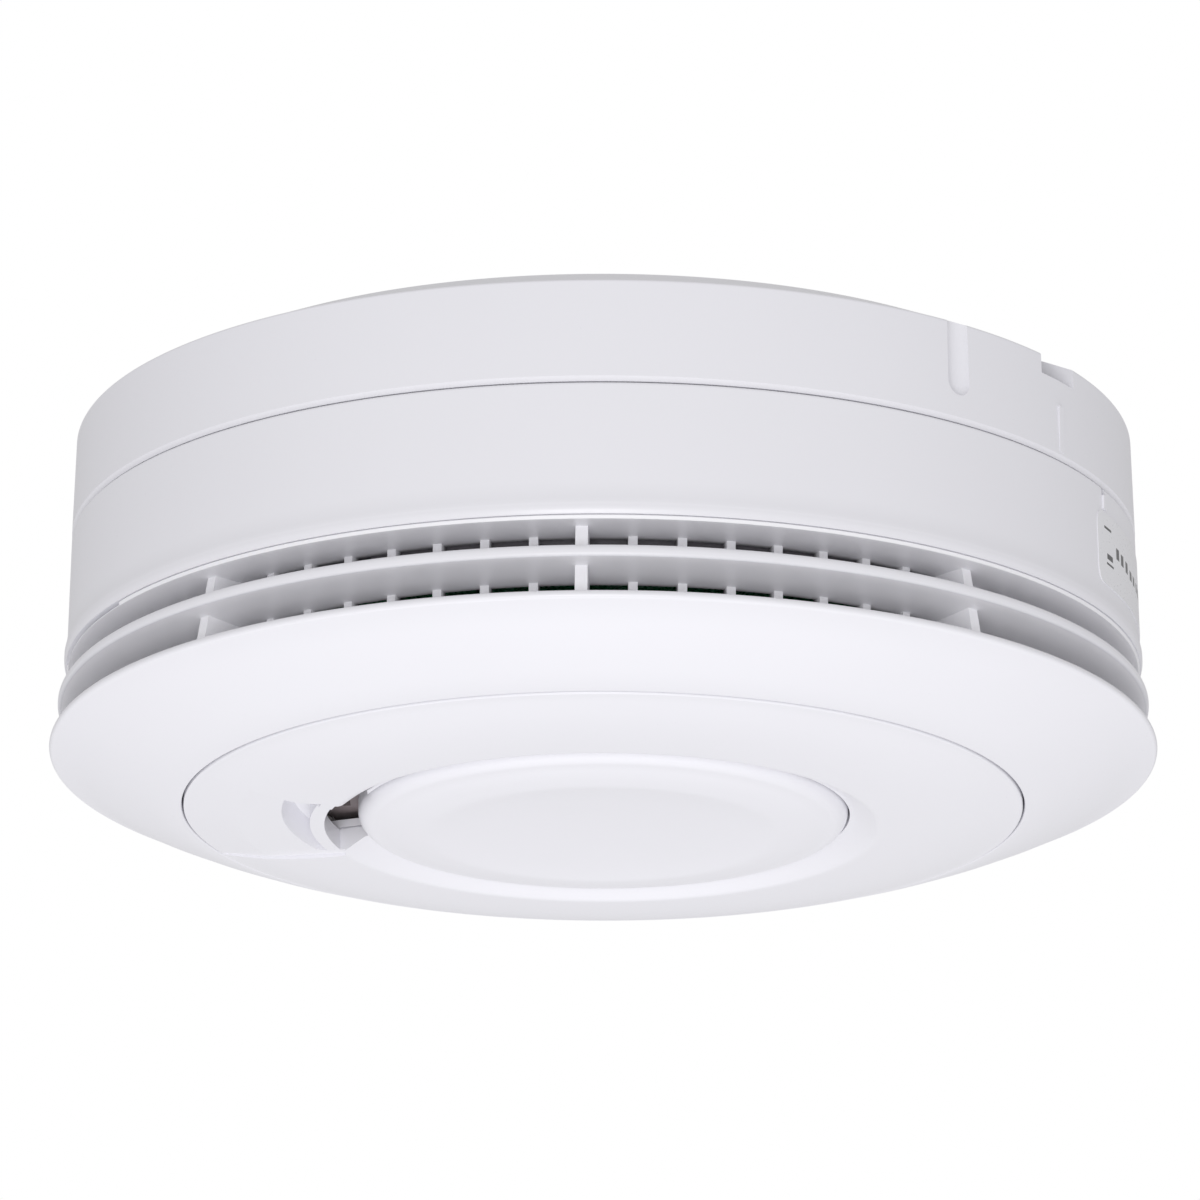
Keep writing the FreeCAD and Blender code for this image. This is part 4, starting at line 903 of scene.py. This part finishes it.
def outlet_window(inner, outer, low, high, half_width=OUTLET_HALF_WIDTH):
    """A part-ring on the -X side, as wide as the sound outlet."""
    plan = [(-60.0, -half_width), (0.0, -half_width), (0.0, half_width), (-60.0, half_width)]
    part_ring = ring(inner, outer, low - 0.1, high + 0.1, 135.0, 90.0)
    return combined(part_ring, prism(plan, low, high), "INTERSECT")


def outlet_upstand():
    """Roof over the finger recess, and the walls that lead sound down to the hole."""
    half_width = OUTLET_HALF_WIDTH
    outer = half_width + UPSTAND_WALL
    roof = outlet_window(BRIDGE_OUTER_R - 0.3, ROOF_OUTER_R, OUTLET_ROOF_Z - 0.4,
                         OUTLET_ROOF_Z + 0.6, outer)
    back_wall = outlet_window(BRIDGE_OUTER_R - 0.3, BRIDGE_OUTER_R + 0.7, OUTLET_ROOF_Z - 0.3,
                              UPSTAND_TOP_Z, outer)
    side_plan = [(-30.5, half_width), (-29.0, half_width), (-24.4, half_width - 2.0),
                 (-24.4, outer - 2.0), (-29.0, outer), (-30.5, outer)]
    side_wall = prism(side_plan, OUTLET_ROOF_Z - 0.3, UPSTAND_TOP_Z)
    return gathered([roof, back_wall, side_wall])


def sound_hole(low, high, margin, half_width=OUTLET_HALF_WIDTH):
    """The hole between the button and the bridge, which narrows towards the button."""
    taper = half_width - OUTLET_TAPER
    plan = [(-29.0, -half_width), (-29.0, half_width), (-24.0, taper), (-24.0, -taper)]
    part_ring = sector(BUTTON_HOLE_R - 2, BRIDGE_INNER_R, low - margin, high + margin, TURN / 2,
                       TURN / 4)
    return combined(part_ring, prism(plan, low, high), "INTERSECT")


def outlet_hole():
    """The through hole of the sound outlet."""
    return sound_hole(BELOW_ALL_Z, UPSTAND_TOP_Z + 0.5, 0.1)


def joint_line():
    """A thin groove round the hole, where the panel and its upstand meet."""
    return sound_hole(OUTLET_ROOF_Z - JOINT_LINE / 2, OUTLET_ROOF_Z + JOINT_LINE / 2, 0.4,
                      OUTLET_HALF_WIDTH + JOINT_LINE_DEPTH)


def finger_recess():
    """The recess beside the bridge, whose wall leans outwards and isn't round the main axis."""
    cone = turned([
        (0.0, BELOW_ALL_Z - 0.3),
        (FINGER_RECESS_BOTTOM_R, BELOW_ALL_Z - 0.3),
        (FINGER_RECESS_TOP_R, OUTLET_ROOF_Z),
        (0.0, OUTLET_ROOF_Z),
    ])
    shift = Vector((FINGER_RECESS_X, FINGER_RECESS_Y, 0.0)) * MM
    bmesh.ops.translate(cone, verts=cone.verts, vec=shift)
    limits = outlet_window(BRIDGE_OUTER_R, 36.0, BELOW_ALL_Z - 0.4, OUTLET_ROOF_Z + 0.1)
    return combined(cone, limits, "INTERSECT")


def facet():
    """A shallow wedge that is cut into the dome from the seam to the sound outlet."""
    offset_dome = turned([
        (0.0, BELOW_ALL_Z - 0.5),
        (0.0, BOWL_Z + FACET_DEPTH),
        (BOWL_R, BOWL_Z + FACET_DEPTH),
        (PANEL_MIDDLE_R, -41.63),
        (PANEL_R, -40.6),
        (PANEL_R + 2, -40.2),
        (PANEL_R + 2, BELOW_ALL_Z - 0.5),
    ])
    return combined(offset_dome, prism(FACET_PLAN, BELOW_ALL_Z - 0.4, -39.0), "INTERSECT")


def panel_shell():
    """The inner dome with its bowl, the sound outlet, the bridge, the finger recess and the facet."""
    body = turned([
        (BUTTON_HOLE_R, COLLAR_TOP_Z),
        (COLLAR_OUTER_R, COLLAR_TOP_Z),
        (28.8, PANEL_TOP_Z),
        (33.5, PANEL_TOP_Z),
        (PANEL_MIDDLE_R, PANEL_TOP_Z + 0.3),
        (PANEL_R, PANEL_TOP_Z + 1.15),
        (PANEL_R, PANEL_EDGE_Z + 0.25),
        (PANEL_R - 0.25, PANEL_EDGE_Z, PANEL_R - 0.07, PANEL_EDGE_Z + 0.07),
        (PANEL_MIDDLE_R, -41.87, 40.6, -41.37),
        (BOWL_R + 0.5, BOWL_Z - 0.01, 33.4, -42.37),
        (BOWL_R - 0.3, BOWL_Z + 0.15, BOWL_R + 0.05, BOWL_Z + 0.02),
        (26.3, -41.35),
        (BUTTON_HOLE_R, -41.15, 25.95, -41.2),
    ])
    collar_cut = sector(BUTTON_HOLE_R - 1.0, BOWL_R, OUTLET_ROOF_Z, COLLAR_TOP_Z + 0.3, TURN / 2,
                        COLLAR_CUT_SPAN)
    body = combined(body, collar_cut, "DIFFERENCE")
    body = combined(body, outlet_upstand(), "UNION", True)
    for cutter in (facet(), outlet_hole(), prism(SLIVER_PLAN, BELOW_ALL_Z - 0.2, UPSTAND_TOP_Z + 0.4),
                   finger_recess(), joint_line()):
        body = combined(body, cutter, "DIFFERENCE")
    parts = [body]
    for angle in HOOK_ANGLES:
        parts.append(sector(SEAM_LEDGE_R - 1.2, SEAM_LEDGE_R - 0.2, HOOK_FOOT_Z, HOOK_TOP_Z, angle,
                            HOOK_SPAN))
        parts.append(sector(SEAM_LEDGE_R - 0.4, SEAM_LEDGE_R + 0.8, HOOK_TOP_Z - 0.75, HOOK_TOP_Z,
                            angle, HOOK_SPAN))
    piece("front_panel_shell", gathered(parts), "head", "front_panel", "white_plastic")


def button_shell():
    """The test button: a round cap with a shallow dish."""
    parts = [turned([
        (0.0, DISH_CENTRE_Z),
        (DISH_R - 1.3, DISH_EDGE_Z + 0.09, DISH_R / 2, DISH_CENTRE_Z - 0.12),
        (DISH_R + 1.2, DISH_EDGE_Z + 0.07, DISH_R, DISH_EDGE_Z - 0.01),
        (BUTTON_CREST_R, BUTTON_CREST_Z, 21.2, DISH_EDGE_Z + 0.25),
        (BUTTON_R, BUTTON_CREST_Z + 1.5, BUTTON_R - 0.5, BUTTON_CREST_Z + 0.5),
        (BUTTON_R, BUTTON_TOP_Z),
        (BUTTON_WALL_R, BUTTON_TOP_Z),
        (BUTTON_WALL_R, BUTTON_CEILING_Z),
        (0.0, BUTTON_CEILING_Z),
    ])]
    parts.append(rod(POST_R, BUTTON_CEILING_Z - 0.3, POST_TOP_Z, POST_X, POST_Y))
    parts.append(ring(SPRING_R - 1.5, SPRING_R - 0.7, BUTTON_CEILING_Z - 0.3, BUTTON_CEILING_Z + 1))
    for angle in BUTTON_HOOK_ANGLES:
        parts.append(sector(BUTTON_WALL_R, BUTTON_R, BUTTON_TOP_Z - 0.3, BUTTON_HOOK_TOP_Z, angle,
                            BUTTON_HOOK_SPAN))
        parts.append(sector(BUTTON_WALL_R, BUTTON_HOOK_R, BUTTON_HOOK_TOP_Z - 0.8,
                            BUTTON_HOOK_TOP_Z, angle, BUTTON_HOOK_SPAN))
    for index in range(BUTTON_RIBS):
        angle = BUTTON_RIB_ANGLE + index * TURN / BUTTON_RIBS
        parts.append(radial_block(8.0, BUTTON_WALL_R + 0.2, BUTTON_RIB_WIDTH,
                                  BUTTON_CEILING_Z - 0.2, BUTTON_RIB_TOP_Z, angle))
    piece("test_button_shell", gathered(parts), "button", "test_button", "button_plastic")


def wall_radius(z):
    """Outer radius of the head's side wall above its waist."""
    top = HEAD_TOP_Z - 0.3
    share = (top - z) / (top - HEAD_WAIST_Z)
    return HEAD_SHOULDER_R + (HEAD_WAIST_R - HEAD_SHOULDER_R) * share


def label_shell():
    """The date label: thin film with rounded corners, laid on the side wall."""
    rings = []
    for index in range(LABEL_STEPS + 1):
        along = LABEL_SWEEP * index / LABEL_STEPS
        edge = math.radians(min(along, LABEL_SWEEP - along)) * HEAD_WAIST_R
        corner = max(0.0, LABEL_CORNER - edge)
        cut = LABEL_CORNER - math.sqrt(max(0.0, LABEL_CORNER ** 2 - corner ** 2))
        top, low = LABEL_TOP_Z - cut, LABEL_LOW_Z + cut
        outline = []
        for z, proud in ((low, LABEL_BACK), (low, LABEL_FILM), (top, LABEL_FILM),
                         (top, LABEL_BACK)):
            outline.append(place_of(wall_radius(z) + proud, LABEL_START + along, z))
        rings.append(outline)
    film = skin(rings, False)
    piece("date_label_film", film, "head", "date_label", "label_film", printed_label())


def spring_coil():
    """The button's spring, a coil from the button's ceiling to the smoke chamber."""
    low = BUTTON_CEILING_Z + SPRING_WIRE_R
    high = CHAMBER_BOTTOM_Z - SPRING_WIRE_R
    steps = SPRING_STEPS * SPRING_TURNS
    rings = []
    for index in range(steps + 1):
        share = index / steps
        angle = TURN * SPRING_TURNS * share
        middle = low + (high - low) * share
        outline = []
        for side in range(WIRE_SIDES):
            turn = math.tau * side / WIRE_SIDES
            radius = SPRING_R + SPRING_WIRE_R * math.cos(turn)
            outline.append(place_of(radius, angle, middle + SPRING_WIRE_R * math.sin(turn)))
        rings.append(outline)
    coil = piece("button_spring_coil", skin(rings, False), "head", "button_spring", "spring_steel")
    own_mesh(coil)


add_camera()
light_scene()
add_floor()
dress_nodes()
base_shell()
rear_shell()
cover_shell()
panel_shell()
button_shell()
label_shell()
spring_coil()
